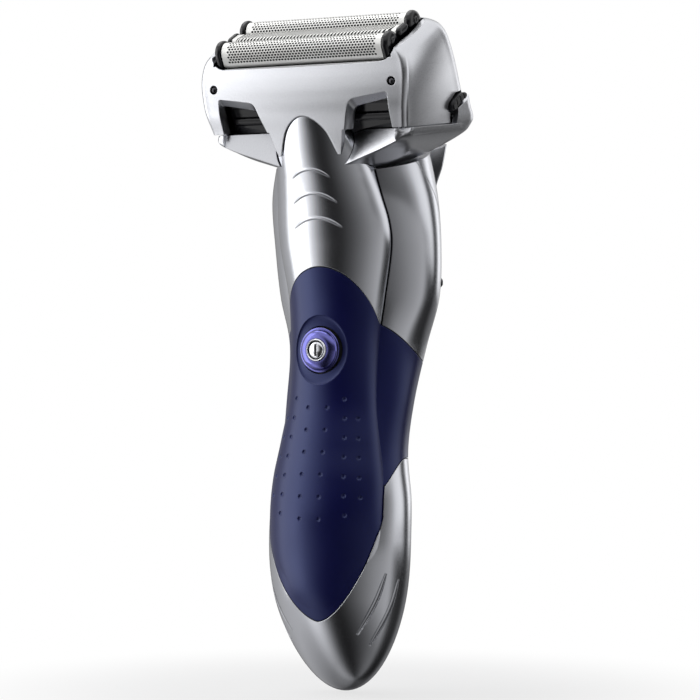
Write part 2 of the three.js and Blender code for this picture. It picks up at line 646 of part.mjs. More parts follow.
// The drive block's fork lets the crank pin move fore and aft, and carries the post up to the blades
const fork = { low: eccentric.low + eccentric.thickness + 0.4, high: caseTop - gap - caseWall - 0.5 };
const forkReach = eccentric.pinRadius + 2 * eccentricity + running;
const carrier = { low: -8.5, high: -7.3, halfWidth: 13, halfDepth: 7.8 };
const driveBlock = block(-8, 8, motor.depth - 4.5, motor.depth + 4.5, fork.low, fork.high)
  .subtract(block(-forkReach, forkReach, motor.depth - 3, motor.depth + 3, fork.low - 1, eccentric.pinTop + running));
const post = onPost([[0, postFoot - 1], [postRadius, postFoot - 1], [postRadius, carrier.low + 0.5], [0, carrier.low + 0.5]])
  .intersect(slabAbove(fork.low + 3));
const carrierPlate = solid(new THREE.BoxGeometry(2 * carrier.halfWidth, 2 * carrier.halfDepth, carrier.high - carrier.low)
  .translate(0, 0, (carrier.low + carrier.high) / 2), toHead);
const drivePin = { radius: 0.7, top: -4.9 };
const bladeRows = [-foilPitch / 2, 0, foilPitch / 2];
const drivePins = bladeRows.map((row) => solid(turned([[0, carrier.low + 0.5], [drivePin.radius, carrier.low + 0.5],
  [drivePin.radius, drivePin.top], [0, drivePin.top]], 8).translate(0, row, 0), toHead));
piece('blade_drive', union(driveBlock, post, carrierPlate, ...drivePins), 'casing');

// The chassis stands in the case: shelves round the cell and the motor, two rails, and guide
// walls in front of and behind the drive block
const rail = { inner: board.halfWidth + gap, outer: board.halfWidth + gap + 1.8, front: -7.5, back: 3 };
const motorCover = motor.high + gap;
const shelfThickness = 2;
const lowShelf = cell.low + 3.5;
const shelves = [lowShelf, cell.high - 5, motor.low + 1, motorCover]
  .map((z) => block(-far, far, -far, far, z, z + shelfThickness));
const rails = [-1, 1].map((side) => block(Math.min(side * rail.inner, side * rail.outer),
  Math.max(side * rail.inner, side * rail.outer), rail.front, rail.back, lowShelf, motorCover + shelfThickness));
const guideWalls = [-1, 1].map((side) => {
  const near = motor.depth + side * (4.5 + running);
  const away = near + side * 1.6;
  return block(-6, 6, Math.min(near, away), Math.max(near, away), motorCover + 1, fork.high - 1);
});
const cellRoom = solid(turned([[0, -2], [cell.radius + gap, -2], [cell.radius + gap, cellLength + 2], [0, cellLength + 2]], 16), cellAxis);
const motorRoom = solid(turned([[0, motor.low - 3], [motor.radius + gap, motor.low - 3],
  [motor.radius + gap, motorCover], [eccentric.radius + 0.8, motorCover],
  [eccentric.radius + 0.8, motorCover + 3], [0, motorCover + 3]], 16), motorAxis);
const boardRoom = block(-rail.inner, rail.inner, -far, boardFront + board.thickness + gap, board.low - gap, board.high + gap);
piece('chassis', union(...shelves, ...rails, ...guideWalls).intersect(chassisRoom)
  .subtract(cellRoom).subtract(motorRoom).subtract(boardRoom), 'casing');

const bootClearance = postRadius + stroke + running;
piece('drive_boot', onPost([
  [bootClearance, postFoot + 5], [bootRadius, postFoot + 5], [bootRadius, postFoot + 9],
  [bootRadius - 1.2, postFoot + 10], [bootRadius, postFoot + 11], [bootRadius - 1.4, postFoot + 12.4],
  [bootClearance, postFoot + 12.4], [bootClearance, postFoot + 5]], 16), 'rubber');

// ---------------------------------------------------------------- socket

piece('power_socket', solid(roundEnded(socketHalf.width, socketHalf.height, -socketDepth, socketFloor - 0.2, 5), socketAxis)
  .subtract(solid(roundEnded(socketHalf.width - 1, socketHalf.height - 1, -socketDepth + 1.5, 2, 5), socketAxis))
  .subtract(union(...[-1, 1].map((side) => solid(turned([[0, -9], [0.65 + gap, -9], [0.65 + gap, 0], [0, 0]], 8)
    .translate(side * 1.7, 0, 0), socketAxis)))), 'black');
[['left', -1], ['right', 1]].forEach(([name, side]) => {
  piece(`socket_pin_${name}`, solid(turned([[0, -socketDepth - 0.2], [0.65, -socketDepth - 0.2],
    [0.65, -2.4], [0.35, -2], [0, -2]], 8).translate(side * 1.7, 0, 0), socketAxis), 'brass');
});

// ---------------------------------------------------------------- trimmer

const trimmer = new THREE.Group();
trimmer.position.set(0, backDepth(trimmerFoot), trimmerFoot);
trimmer.rotation.x = -trimmerLean;
shaver.add(trimmer);
const plateBack = -channelDepth + gap;
const plateFace = plateBack + trimmerPlate;
const hoodForm = sidePrism([[hood.inner, hood.foot], [hood.outer, hood.foot], [hood.outer, hood.top - hood.chamfer],
  [hood.outer - hood.chamfer, hood.top], [hood.inner, hood.top]], -hood.half, hood.half);
const toothPitch = 1.7;
const teethAcross = Math.floor(2 * (hood.half - 1.2) / toothPitch);
const comb = { y0: hood.inner, y1: hood.inner + 0.9 };
const cutter = { y0: comb.y1 + gap, y1: comb.y1 + gap + 0.5 };
const teeth = (y0, y1, z0, z1, width, count) => steps(-1, 1, count).map((t) => {
  const x = t * count * toothPitch / 2;
  return block(x - width / 2, x + width / 2, y0, y1, z0, z1);
});
const thumbRidges = steps(2, 8, 3).map((z) => block(-4.5, 4.5, plateFace - 0.1, plateFace + 1.3, z, z + 0.8));
const cutterRoom = block(-hood.half + 1, hood.half - 1, comb.y1, cutter.y1 + gap, hood.top - 4 - gap, far);
piece('trimmer_slide', union(
  block(-trimmerHalf, trimmerHalf, plateBack, plateFace, plateFoot, hood.foot + 0.5),
  block(-5.2, 5.2, plateFace - 0.1, plateFace + 0.6, 0.6, 9.8),
  hoodForm.subtract(cutterRoom),
  ...teeth(comb.y0, comb.y1, hood.top - 0.1, hood.top + 1.2, 0.8, teethAcross),
  ...thumbRidges), 'silver', trimmer);
piece('trimmer_cutter', union(
  block(-hood.half + 2, hood.half - 2, cutter.y0, cutter.y1, hood.top - 4, hood.top - 0.2),
  ...teeth(cutter.y0, cutter.y1, hood.top - 0.3, hood.top + 0.9, 0.8, teethAcross - 2)), 'steel', trimmer);

// ---------------------------------------------------------------- head shells

// Sections of the foil frame across its local Z
const frameStations = [
  { height: -30, halfWidth: 24.6, front: -15.6, back: 21.2 },
  { height: -22, halfWidth: 25.1, front: -15.0, back: 19.5 },
  { height: -17, halfWidth: 25.9, front: -14.3, back: 18.3 },
  { height: -12, halfWidth: 26.9, front: -13.8, back: 16.7 },
  { height: -8.2, halfWidth: 27.4, front: -12.5, back: 15.6 },
  { height: -5, halfWidth: 27.5, front: -11.1, back: 14.7 },
  { height: -2.5, halfWidth: 27.0, front: -9.8, back: 13.6 },
  { height: -1.0, halfWidth: 26.2, front: -9.0, back: 12.0 },
  { height: 0, halfWidth: 25.2, front: -8.3, back: 10.2 },
];
const frameSection = {
  halfWidth: along(frameStations, 'halfWidth'),
  front: along(frameStations, 'front'),
  back: along(frameStations, 'back'),
};
const frameCrown = 0.9;       // how far the front face bulges between its corners
const frontCorner = 2.4;
const rearCorner = 5.0;

// A ring with rounded corners and a bulged front side
function frameRing(height, inset) {
  const w = frameSection.halfWidth(height) - inset;
  const front = frameSection.front(height) + inset;
  const back = frameSection.back(height) - inset;
  const rf = frontCorner - inset / 2;
  const rb = rearCorner - inset / 2;
  const brow = steps(-1, 1, 8).slice(1, 8).map((t) => new THREE.Vector3(
    (w - rf) * t, front - frameCrown * (1 - t * t), height));
  return [
    ...cornerArc(w - rb, back - rb, rb, 0, height), ...cornerArc(-w + rb, back - rb, rb, 90, height),
    ...cornerArc(-w + rf, front + rf, rf, 180, height), ...brow,
    ...cornerArc(w - rf, front + rf, rf, 270, height),
  ];
}

const frameHeights = [-37, -28, -22, -17, -12, -8.2, -5, -2.5, -1, 0];
const frameOuter = solid(loft(frameHeights.map((h) => frameRing(h, 0))), toHead);
const frameInner = solid(loft([-39, -30, -22, -12, -5, -2.5, -1, 0].map((h) => frameRing(h, frameWall))
  .concat([frameRing(0, frameWall).map((p) => p.clone().setZ(2))])), toHead);

// The seam between the frame and the tray rises gently to the rear
const seamFront = { depth: -19.5, height: headHeight - 21.6 };
const seamRise = 6.3;         // degrees
const seamSlope = Math.tan(rad(seamRise));
const seamHeight = (depth) => seamFront.height + (depth - seamFront.depth) * seamSlope;

function aboveHeadSeam(shift) {
  return sidePrism([[-far, seamHeight(-far) + shift], [far, seamHeight(far) + shift], [far, far * 3], [-far, far * 3]],
    -far, far);
}

// Windows in the front of the frame, each side of the tongue that runs down behind the nose
const windowOuter = 22.5;
const windowTop = headHeight - 13.2;
const windowInnerTop = { x: 12.0, height: windowTop - 2.2 };
const tongueEnd = { x: 8.3, height: headHeight - 27.1 };
const windowReveal = 1.1;     // the wall round the windows is this much thicker

function windowPrism(side) {
  const points = [
    [windowOuter, windowTop], [windowInnerTop.x + 1.5, windowInnerTop.height + 0.6],
    [windowInnerTop.x, windowInnerTop.height - 0.6], [tongueEnd.x, tongueEnd.height],
    [tongueEnd.x, tongueEnd.height - far / 4], [windowOuter, tongueEnd.height - far / 4],
  ];
  return frontPrism(points.map(([x, z]) => [side * x, z]), -far, headDepth + 2);
}

// Release buttons: slanting pads in the rear corners of the head, one on each side
const releasePad = [[1.9, 16.4], [1.7, 14.7], [4.8, 12.6], [8.4, 11.4], [8.8, 12.7], [5.6, 14.2], [3.2, 16.3]]
  .map(([depth, drop]) => [depth, headHeight - drop]);
const releaseTravel = 1.0;
const releaseStand = 1.3;     // how far the pads stand out of the frame's sides
const releaseOuter = frameSection.halfWidth(-20) + releaseStand;
const releaseInner = releaseOuter - 3.2;
const releaseFoot = headHeight - 16.5;
const uprightInner = 17.5;    // the tray's rear uprights lie outside this half width
const uprightFront = 4.8;
const uprightClear = 2.2;     // space between the frame's lower corner and the upright

// The pad's outline, grown evenly about its middle
function releaseOutline(grow) {
  const middle = [0, 1].map((k) => releasePad.reduce((sum, p) => sum + p[k], 0) / releasePad.length);
  return releasePad.map((p) => {
    const d = Math.hypot(p[0] - middle[0], p[1] - middle[1]);
    return [0, 1].map((k) => middle[k] + (p[k] - middle[k]) * (d + grow) / d);
  });
}

const spanned = (points, side, from, to) => sidePrism(points, Math.min(side * from, side * to),
  Math.max(side * from, side * to));
const releaseNotch = (side) => spanned(releaseOutline(2 * running), side, releaseInner - releaseTravel - running, far);

// The region of the rear corners below the release pads
const uprightReach = (front, shift) => sidePrism([[front, bodyTop - 4], [front, releaseFoot + 0.9 - shift],
  [12, releaseFoot + 4.6 - shift], [far, releaseFoot + 5.4 - shift], [far, bodyTop - 4]], -far, far)
  .subtract(block(-uprightInner - shift, uprightInner + shift, -far, far, 0, far * 3));

const tongueBack = -14.8;      // the tray is open in front of this depth to let the tongue pass
const tonguePrism = (grow, toY) => frontPrism([
  [-windowInnerTop.x - grow, windowTop], [-tongueEnd.x - grow, tongueEnd.height - grow],
  [tongueEnd.x + grow, tongueEnd.height - grow], [windowInnerTop.x + grow, windowTop]], -far, toY);
const frontTongue = tonguePrism(0, headDepth);
const frameReach = union(aboveHeadSeam(0), frontTongue);
const headWall = frameOuter.subtract(frameInner);
const foilRoomHalf = { width: capEnd + 0.5, depth: foilPitch / 2 + capRadius + 0.4 };
const foilRoom = block(-foilRoomHalf.width, foilRoomHalf.width, -foilRoomHalf.depth, foilRoomHalf.depth, -4.9, 2)
  .transform(toHead.elements);
// The windows show a deeper wall: the frame's inner surface steps back round them
const revealWall = frameOuter
  .subtract(frameInner.transform(new THREE.Matrix4().makeTranslation(
    0, windowReveal * Math.cos(rad(headTilt)), windowReveal * Math.sin(rad(headTilt))).elements))
  .intersect(block(-far, far, -far, 0, -17.4, -9.4).transform(toHead.elements));
const frameShell = union(headWall, revealWall).intersect(frameReach)
  .subtract(windowPrism(1)).subtract(windowPrism(-1)).subtract(spineGrown)
  .subtract(uprightReach(uprightFront - uprightClear, -gap)).subtract(releaseNotch(1)).subtract(releaseNotch(-1)).subtract(foilRoom);
const frontDip = frontPrism([[-24.6, 1], [-23.2, -1.2], [-21, -2.5], [21, -2.5], [23.2, -1.2], [24.6, 1]],
  -16, -3).transform(toHead.elements);
const rearDip = solid(new THREE.BoxGeometry(2 * 22, 8, 3.2).translate(0, 13.4, 0), toHead);
const pinHeight = headHeight - 11.4;
const pinX = 23.6;
const pinTip = 7.7 - headDepth;
const pinRadius = 0.8;
const framePins = [-1, 1].map((side) => solid(turned([[0, pinTip - 4.7], [pinRadius, pinTip - 4.7],
  [pinRadius, pinTip - 0.4], [pinRadius * 0.5, pinTip], [0, pinTip]], 12),
  new THREE.Matrix4().makeRotationX(Math.PI / 2).setPosition(side * pinX, 0, pinHeight)));
const pinHoles = [-1, 1].map((side) => solid(turned([[0, pinTip - 5.1], [pinRadius + gap, pinTip - 5.1],
  [pinRadius + gap, far], [0, far]], 12),
  new THREE.Matrix4().makeRotationX(Math.PI / 2).setPosition(side * pinX, 0, pinHeight)));
piece('foil_frame', frameShell.subtract(frontDip).subtract(rearDip).subtract(union(...pinHoles)), 'silver');
piece('frame_pin_left', framePins[0], 'black');
piece('frame_pin_right', framePins[1], 'black');

// Tray: the cup that carries the head, widening from a narrow neck up to the frame's seam.
// Its sections lie parallel to the seam, at the heights they have in the plane of the seam's front.
const trayStations = [
  { drop: 32.1, frontHalf: 4.0, front: -16.2, halfWidth: 10.5, shoulder: -5, back: 3.0 },
  { drop: 30.1, frontHalf: 8.0, front: -17.2, halfWidth: 15.3, shoulder: -8, back: 5.0 },
  { drop: 28.1, frontHalf: 13.4, front: -18.0, halfWidth: 20.2, shoulder: -10.5, back: 7.2 },
  { drop: 26.1, frontHalf: 19.4, front: -18.6, halfWidth: 23.4, shoulder: -13, back: 9.4 },
  { drop: 23.7, frontHalf: 24.2, front: -19.4, halfWidth: 25.4, shoulder: -16.6, back: 12.8 },
  { drop: 21.4, frontHalf: 24.0, front: -19.5, halfWidth: 26.1, shoulder: -16.4, back: 14.3 },
].map(({ drop, ...section }) => ({ height: headHeight - drop, ...section }));
const trayTop = trayStations[trayStations.length - 1].height;
const trayKeys = ['frontHalf', 'front', 'halfWidth', 'shoulder', 'back'];
const traySection = Object.fromEntries(trayKeys.map((key) => [key, along(trayStations, key)]));
const trayWall = 1.6;
const trayCorner = 7;
const trayFloor = headHeight - 25.2;

function trayRing(height, inset) {
  const s = Object.fromEntries(trayKeys.map((key) => [key, traySection[key](Math.min(height, trayTop))]));
  const w = s.halfWidth - inset;
  const front = s.front + inset;
  const back = s.back - inset;
  const rb = trayCorner - inset;
  const ring = [
    ...cornerArc(w - rb, back - rb, rb, 0, height), ...cornerArc(-w + rb, back - rb, rb, 90, height),
    new THREE.Vector3(-w, s.shoulder, height), new THREE.Vector3(-s.frontHalf + inset, front, height),
    new THREE.Vector3(0, front - 0.4, height),
    new THREE.Vector3(s.frontHalf - inset, front, height), new THREE.Vector3(w, s.shoulder, height)];
  return ring.map((p) => p.setZ(height + (p.y - seamFront.depth) * seamSlope));
}

const trayOuterHeights = [...trayStations.map(({ height }) => height), trayTop + 2.8];
const trayOuter = solid(loft(trayOuterHeights.map((h) => trayRing(h, 0))));
const trayInnerHeights = [trayFloor, trayTop - 2.3, trayTop, trayTop + 6.8];
const trayInner = solid(loft(trayInnerHeights.map((h) => trayRing(h, trayWall))));

// Below each window the tray's front is a flat facet that leans back, through these three points
const sillCorners = [[11.7, -17.7, 28.5], [23.6, -19.0, 24.7], [21.6, -17.3, 21.4]]
  .map(([x, y, drop]) => new THREE.Vector3(x, y, headHeight - drop));
const sillOuter = windowOuter + gap;
function sill(side) {
  const plane = new THREE.Plane().setFromCoplanarPoints(...sillCorners);
  if (plane.normal.y > 0) plane.negate();
  return block(Math.min(side * 6, side * sillOuter), Math.max(side * 6, side * sillOuter), -far, far,
    headHeight - 36, headHeight - 17).trimByPlane([side * plane.normal.x, plane.normal.y, plane.normal.z], -plane.constant);
}
const uprights = headWall.intersect(uprightReach(uprightFront, 0)).intersect(aboveHeadSeam(-2))
  .subtract(releaseNotch(1)).subtract(releaseNotch(-1));
const trayCup = trayOuter.subtract(trayInner).subtract(sill(1)).subtract(sill(-1))
  .subtract(tonguePrism(gap, tongueBack)).subtract(aboveHeadSeam(-gap));
const trayShell = union(trayCup, uprights).subtract(spineGrown)
  .subtract(union(bodyOutside(gap), slabBelow(roof.height - far / 4)).subtract(aboveRoof(gap)))
  .subtract(port);
piece('head_tray', trayShell, 'silver');

[1, -1].forEach((side) => {
  const pad = spanned(releasePad, side, releaseInner, releaseOuter);
  piece(side > 0 ? 'release_button_right' : 'release_button_left', pad, 'black');
});

// Head block: the black carrier behind the windows, with two ledges across its front
const headBlockTop = carrier.low - running - 0.2;
const blockHalf = 21.9;
const blockFront = -9.9;
const ledges = [[-12.2, -10.6], [-16.4, -14.8]].map(([n0, n1]) => solid(
  new THREE.BoxGeometry(2 * blockHalf - 2, 1.2, n1 - n0).translate(0, blockFront - 0.2, (n0 + n1) / 2), toHead));
const blockCore = solid(new THREE.BoxGeometry(2 * blockHalf, 21, 24).translate(0, blockFront + 10.5, headBlockTop - 12), toHead);
const blockHeights = [trayFloor + gap, trayTop - 2.3, trayTop, trayTop + 6.8, headHeight];
const blockRoom = solid(loft(blockHeights.map((h) => trayRing(h, trayWall + gap))));
const postRoom = onPost([[0, -60], [postRadius + stroke + running + 0.6, -60], [postRadius + stroke + running + 0.6, 0], [0, 0]]);
const headBlock = union(blockCore, ...ledges).intersect(blockRoom.add(slabAbove(trayTop + 2.8)))
  .subtract(postRoom).subtract(port).subtract(spineGrown);
piece('head_block', headBlock, 'black');

// ---------------------------------------------------------------- foil cassette, foils and blades

const cassette = { low: -6.4, high: -4.3, endHigh: -1.4 };
const frameRoom = (grow) => solid(loft([-24, -12, -8.2, -5, -2.5, -1, 0].map((h) => frameRing(h, frameWall + grow))));
const localBox = (x0, x1, v0, v1, n0, n1) => block(x0, x1, v0, v1, n0, n1);
const bladeSlot = (row, half) => localBox(-slitHalfLength - gap, slitHalfLength + gap, row - half, row + half, cassette.low - 1, 1);
const cassettePlate = localBox(-far, far, -far, far, cassette.low, cassette.high)
  .subtract(union(...bladeRows.map((row) => bladeSlot(row, foilRadius - 0.05))));
const endWall = { inner: capEnd + gap, outer: capEnd + gap + 1 };
const endWalls = localBox(-endWall.outer, endWall.outer, -far, far, cassette.low, cassette.endHigh)
  .subtract(localBox(-endWall.inner, endWall.inner, -far, far, cassette.low - 1, 1));
piece('foil_cassette', union(cassettePlate, endWalls).intersect(frameRoom(gap)), 'black', head);

function arch(radius, leg, halfLength, thickness, segments = 12) {
  const outline = (r, side) => steps(0, Math.PI, segments).map((a) => [side * r * Math.cos(a), r * Math.sin(a)]);
  const r = radius - thickness;
  return sidePrism([[radius, -leg], ...outline(radius, 1), [-radius, -leg],
    [-r, -leg], ...outline(r, -1), [r, -leg]], -halfLength, halfLength);
}

const foilArch = arch(foilRadius, foilLeg, foilHalfLength, sheet);
const endCaps = [-1, 1].map((side) => {
  const x0 = side * (foilHalfLength + gap);
  const x1 = side * (foilHalfLength + gap + capThickness);
  const outline = steps(0, Math.PI, 10).map((a) => [capRadius * Math.cos(a), capRadius * Math.sin(a)]);
  return sidePrism([[capRadius, -foilLeg], ...outline, [-capRadius, -foilLeg]], Math.min(x0, x1), Math.max(x0, x1));
});
const slitOutline = (half, top, round) => {
  const bend = (side) => steps(0, Math.PI / 2, 3).map((a) => [
    side * (half - round + round * Math.cos(a)), top - round + round * Math.sin(a)]);
  return [...bend(1), ...bend(-1).reverse()];
};
const slitLeg = 2.4;
const slitOuter = slitOutline(slitHalfWidth, slitTop, 0.8);
const slitInner = slitOutline(slitHalfWidth - sheet, slitTop - sheet, 0.5);
const slitChannel = sidePrism([[slitHalfWidth, -slitLeg], ...slitOuter, [-slitHalfWidth, -slitLeg],
  [-slitHalfWidth + sheet, -slitLeg], ...[...slitInner].reverse(), [slitHalfWidth - sheet, -slitLeg]],
-slitHalfLength + 0.5, slitHalfLength - 0.5);
const slitPitch = 2.8;
const slitCount = Math.floor(2 * (slitHalfLength - 2.5) / slitPitch);
const slitSkew = 1.4;
const slits = steps(-1, 1, slitCount).map((t) => {
  const x = t * slitCount * slitPitch / 2;
  const shape = new THREE.Shape([[x - slitSkew - 0.3, -1.5], [x - slitSkew + 0.3, -1.5], [x + slitSkew + 0.3, 1.5],
    [x + slitSkew - 0.3, 1.5]].map(([a, b]) => new THREE.Vector2(a, b)));
  return solid(new THREE.ExtrudeGeometry(shape, { depth: 2, bevelEnabled: false }).translate(0, 0, slitTop - 1));
});

['front', 'rear'].forEach((name, i) => {
  const row = (i - 0.5) * foilPitch;
  piece(`${name}_foil`, geometryOf(foilArch), 'steel', head).position.y = row;
  piece(`${name}_foil_cap_left`, geometryOf(endCaps[0]), 'black', head).position.y = row;
  piece(`${name}_foil_cap_right`, geometryOf(endCaps[1]), 'black', head).position.y = row;
});
piece('slit_foil', slitChannel.subtract(union(...slits)), 'steel', head);

// Inner blades: a base that the drive pin moves, and a comb of thin round-backed blades on it
const bladeHalf = foilHalfLength - stroke - 0.8;
const bladeRadius = foilRadius - sheet - running;
const bladeBase = { low: -5.7, high: -3.4, half: 1.85 };
const combPitch = 4.2;
const combCount = Math.floor(2 * (bladeHalf - 0.5) / combPitch);

function innerBlade(half, length, profile, core) {
  const ribs = steps(-1, 1, combCount).map((t) => {
    const x = t * combCount * combPitch / 2 * length / bladeHalf;
    return sidePrism(profile, x - 0.25, x + 0.25);
  });
  const pocket = localBox(-drivePin.radius - running, drivePin.radius + running, -drivePin.radius - running,
    drivePin.radius + running, bladeBase.low - 1, drivePin.top + foilTravel + running);
  return union(localBox(-length, length, -half, half, bladeBase.low, bladeBase.high),
    localBox(-length, length, -core, core, bladeBase.high - 0.1, 0.2), ...ribs).subtract(pocket);
}

const roundRib = [[bladeRadius, bladeBase.high - 0.1], ...steps(0, Math.PI, 6).map((a) => [bladeRadius * Math.cos(a), bladeRadius * Math.sin(a)]),
  [-bladeRadius, bladeBase.high - 0.1]];
const slitBladeHalf = slitHalfWidth - sheet - running;
const slitBladeTop = slitTop - sheet - running;
const flatRib = [[slitBladeHalf, bladeBase.high - 0.1], [slitBladeHalf, slitBladeTop - 0.5], [slitBladeHalf - 0.5, slitBladeTop],
  [-slitBladeHalf + 0.5, slitBladeTop], [-slitBladeHalf, slitBladeTop - 0.5], [-slitBladeHalf, bladeBase.high - 0.1]];
['front', 'rear'].forEach((name, i) => {
  const blade = innerBlade(bladeBase.half, bladeHalf, roundRib, 0.8);
  piece(`${name}_inner_blade`, geometryOf(blade), 'steel', head).position.y = (i - 0.5) * foilPitch;
});
piece('centre_inner_blade', innerBlade(slitBladeHalf, bladeHalf, flatRib, 0.5), 'steel', head);

// ---------------------------------------------------------------- small fasteners

[['left', -1], ['right', 1]].forEach(([name, side]) => {
  piece(`seam_screw_${name}`, solid(turned([[0, -screwDepth], [screwRadius, -screwDepth], [screwRadius, 0.1],
    [screwRadius * 0.6, 0.45], [0, 0.45]], 12), screwFrame(side)), 'black');
});

shaver.add(head);
shaver.position.z = -gripHeight;
shaver.updateMatrixWorld(true);

export default shaver;
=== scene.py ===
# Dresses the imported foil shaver: fine shells and grips, perforated foils, materials, light and camera.
# Shapes are worked out in millimetres, with +Z up from the foot and the front towards -Y. place() writes
# them in metres, in the part's own frame.

import json
import math

import bmesh
import bpy
import numpy as np
from mathutils import Matrix, Vector


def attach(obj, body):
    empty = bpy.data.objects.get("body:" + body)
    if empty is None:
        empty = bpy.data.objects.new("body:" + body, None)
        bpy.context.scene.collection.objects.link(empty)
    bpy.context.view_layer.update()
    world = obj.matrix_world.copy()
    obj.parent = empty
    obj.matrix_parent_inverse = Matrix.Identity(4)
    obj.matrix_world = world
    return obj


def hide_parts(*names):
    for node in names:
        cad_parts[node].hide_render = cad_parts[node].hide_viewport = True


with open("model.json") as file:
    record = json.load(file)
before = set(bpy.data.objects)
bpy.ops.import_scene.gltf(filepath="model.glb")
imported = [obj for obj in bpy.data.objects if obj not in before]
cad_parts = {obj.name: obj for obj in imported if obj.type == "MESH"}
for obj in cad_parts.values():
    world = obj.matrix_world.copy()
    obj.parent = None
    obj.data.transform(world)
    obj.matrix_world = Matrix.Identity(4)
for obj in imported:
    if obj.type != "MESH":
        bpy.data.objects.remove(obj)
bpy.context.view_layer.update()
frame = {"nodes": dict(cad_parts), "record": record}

GRIP_HEIGHT = 62.0  # from the foot up to the part's own origin
GAP = 0.26  # open parting line between two shells
SKIN = 1.6  # wall of the shells
THINNEST = 0.02  # what is left of a section where a form runs out
FAR = 60.0  # past everything on either side
UNDER = -5.0  # below everything
OVER = 180.0  # above everything

# ------------------------------------------------------------------ sections of the forms

BODY = np.array([
    # height, half width, centre, front, back
    [0, 17.3, -2.4, 10.0, 10.5],
    [20, 17.9, -4.5, 12.6, 12.5],
    [33, 17.7, -4.8, 13.1, 12.8],
    [45, 17.4, -4.4, 12.1, 13.6],
    [56, 15.6, -3.0, 11.2, 13.5],
    [68, 15.9, -0.4, 10.6, 13.5],
    [81, 16.9, 3.7, 13.5, 14.5],
    [92, 20.1, 3.9, 12.0, 15.6],
    [104, 21.1, 3.2, 12.8, 15.5],
    [115, 20.7, 1.6, 13.9, 17.5],
    [124, 18.6, 0.6, 13.6, 20.5],
    [131, 16.8, 0.4, 13.2, 21.2],
])
HOUSING = np.array([
    # height, half width, back
    [106, 10.6, 19.0],
    [116, 12.5, 20.3],
    [120, 13.5, 20.7],
    [124, 14.8, 21.0],
    [131, 15.9, 21.6],
])
SPINE = np.array([
    # height, half width, edge, crest, root
    [12, 11.0, -5.0, -11.6, -5],
    [18, 12.0, -6.9, -14.9, -6.5],
    [24, 13.0, -8.6, -17.1, -8],
    [33, 15.0, -9.6, -18.15, -8],
    [42, 14.9, -10.0, -19.1, -8],
    [50, 14.4, -9.4, -18.3, -7],
    [58, 13.0, -8.6, -16.7, -6],
    [68, 11.5, -7.4, -15.0, -5],
    [81, 11.3, -6.4, -14.7, -3],
    [92, 12.5, -5.3, -13.9, -2],
    [104, 14.5, -6.0, -14.9, -3],
    [110, 14.5, -7.0, -15.8, -4],
    [116, 13.4, -9.0, -17.4, -6],
    [122, 12.1, -11.6, -19.4, -9],
    [129, 11.4, -16.0, -22.0, -13.5],
    [136, 11.2, -20.6, -25.6, -18.5],
])
FRAME_SECTIONS = np.array([
    # local height, half width, front, back
    [-30, 24.6, -15.6, 21.2],
    [-22, 25.1, -15.0, 19.5],
    [-17, 25.9, -14.3, 18.3],
    [-12, 26.9, -13.8, 16.7],
    [-8.2, 27.4, -12.5, 15.6],
    [-5, 27.5, -11.1, 14.7],
    [-2.5, 27.0, -9.8, 13.6],
    [-1.0, 26.2, -9.0, 12.0],
    [0, 25.2, -8.3, 10.2],
])
TRAY = np.array([
    # height, front half width, front, half width, shoulder, back
    [119.5, 4.0, -16.2, 10.5, -5, 3.0],
    [121.5, 8.0, -17.2, 15.3, -8, 5.0],
    [123.5, 13.4, -18.0, 20.2, -10.5, 7.2],
    [125.5, 19.4, -18.6, 23.4, -13, 9.4],
    [127.9, 24.2, -19.4, 25.4, -16.6, 12.8],
    [130.2, 24.0, -19.5, 26.1, -16.4, 14.3],
])
UPRIGHT = np.array([
    # height, half width, back
    [124.5, 22.0, 8.4],
    [126.5, 24.3, 12.5],
    [127.9, 25.4, 15.2],
    [129.2, 25.8, 16.6],
    [130.4, 26.1, 17.4],
    [131.8, 26.3, 16.9],
    [133.2, 26.3, 16.0],
    [135.0, 26.3, 15.2],
    [137.0, 26.4, 14.6],
    [140.0, 26.6, 14.0],
])

# Handle
BODY_TOP = 131.0
ROOF_HEIGHT = 123.8  # the handle's sloping roof, at its middle
ROOF_SLOPE = math.tan(math.radians(14))
FOOT_ROUNDING = 36.0  # the foot is rounded up to here
SPINE_FOOT = 12.0
NOSE_START = 120.0  # the spine runs out between these two heights
NOSE_TIP = 136.0
SEAM_ANGLE = math.radians(27)  # of the side seam, behind the handle's widest line
SEAM_BEND = 104.0  # above this height the seam sweeps forward
SEAM_SWEEP = 12.0

# Navy grip and silver cap
ARCH_HEIGHT = 98.9  # top of the grip on the spine
ARCH_SPRING = 85.5
HEM_REAR = 76.8  # top of the grip at the side seam
CAP_PEAK = 54.5
CAP_EDGE = 48.5
TONGUE_TIP = 17.3  # the grip's tongue, down into the cap
TONGUE_HEIGHT = 42.0
TONGUE_FULLNESS = 1.6
TONGUE_DEPTH = -7.0

# Power button and trimmer
BUTTON_HEIGHT = 79.8
BUTTON_RADIUS = 5.2
TRIMMER_FOOT = 98.0

# Head
HEAD_HEIGHT = 151.6
POST_FOOT = 117.0  # where the post of the blade drive starts
HEAD_TILT = math.radians(28)
TO_HEAD = Matrix.Translation((0, -15, HEAD_HEIGHT)) @ Matrix.Rotation(HEAD_TILT, 4, "X")
FROM_HEAD = np.array(TO_HEAD.inverted())
FRAME_WALL = 1.3
FRAME_CROWN = 0.9  # how far the front and the sides swell
FRAME_SIDE_CROWN = 0.5
FRONT_CORNER = 1.3
REAR_CORNER = 5.5
SEAM_FRONT = -19.5  # the seam between tray and frame starts here at the front
SEAM_HEIGHT = 130.0
SEAM_SLOPE = math.tan(math.radians(6.3))
TRAY_TOP = 130.2
FOIL_PITCH = 12.2  # from the front foil to the rear foil
FOIL_RADIUS = 2.6
FOIL_LEG = 2.6
SIDES = (("left", -1), ("right", 1))


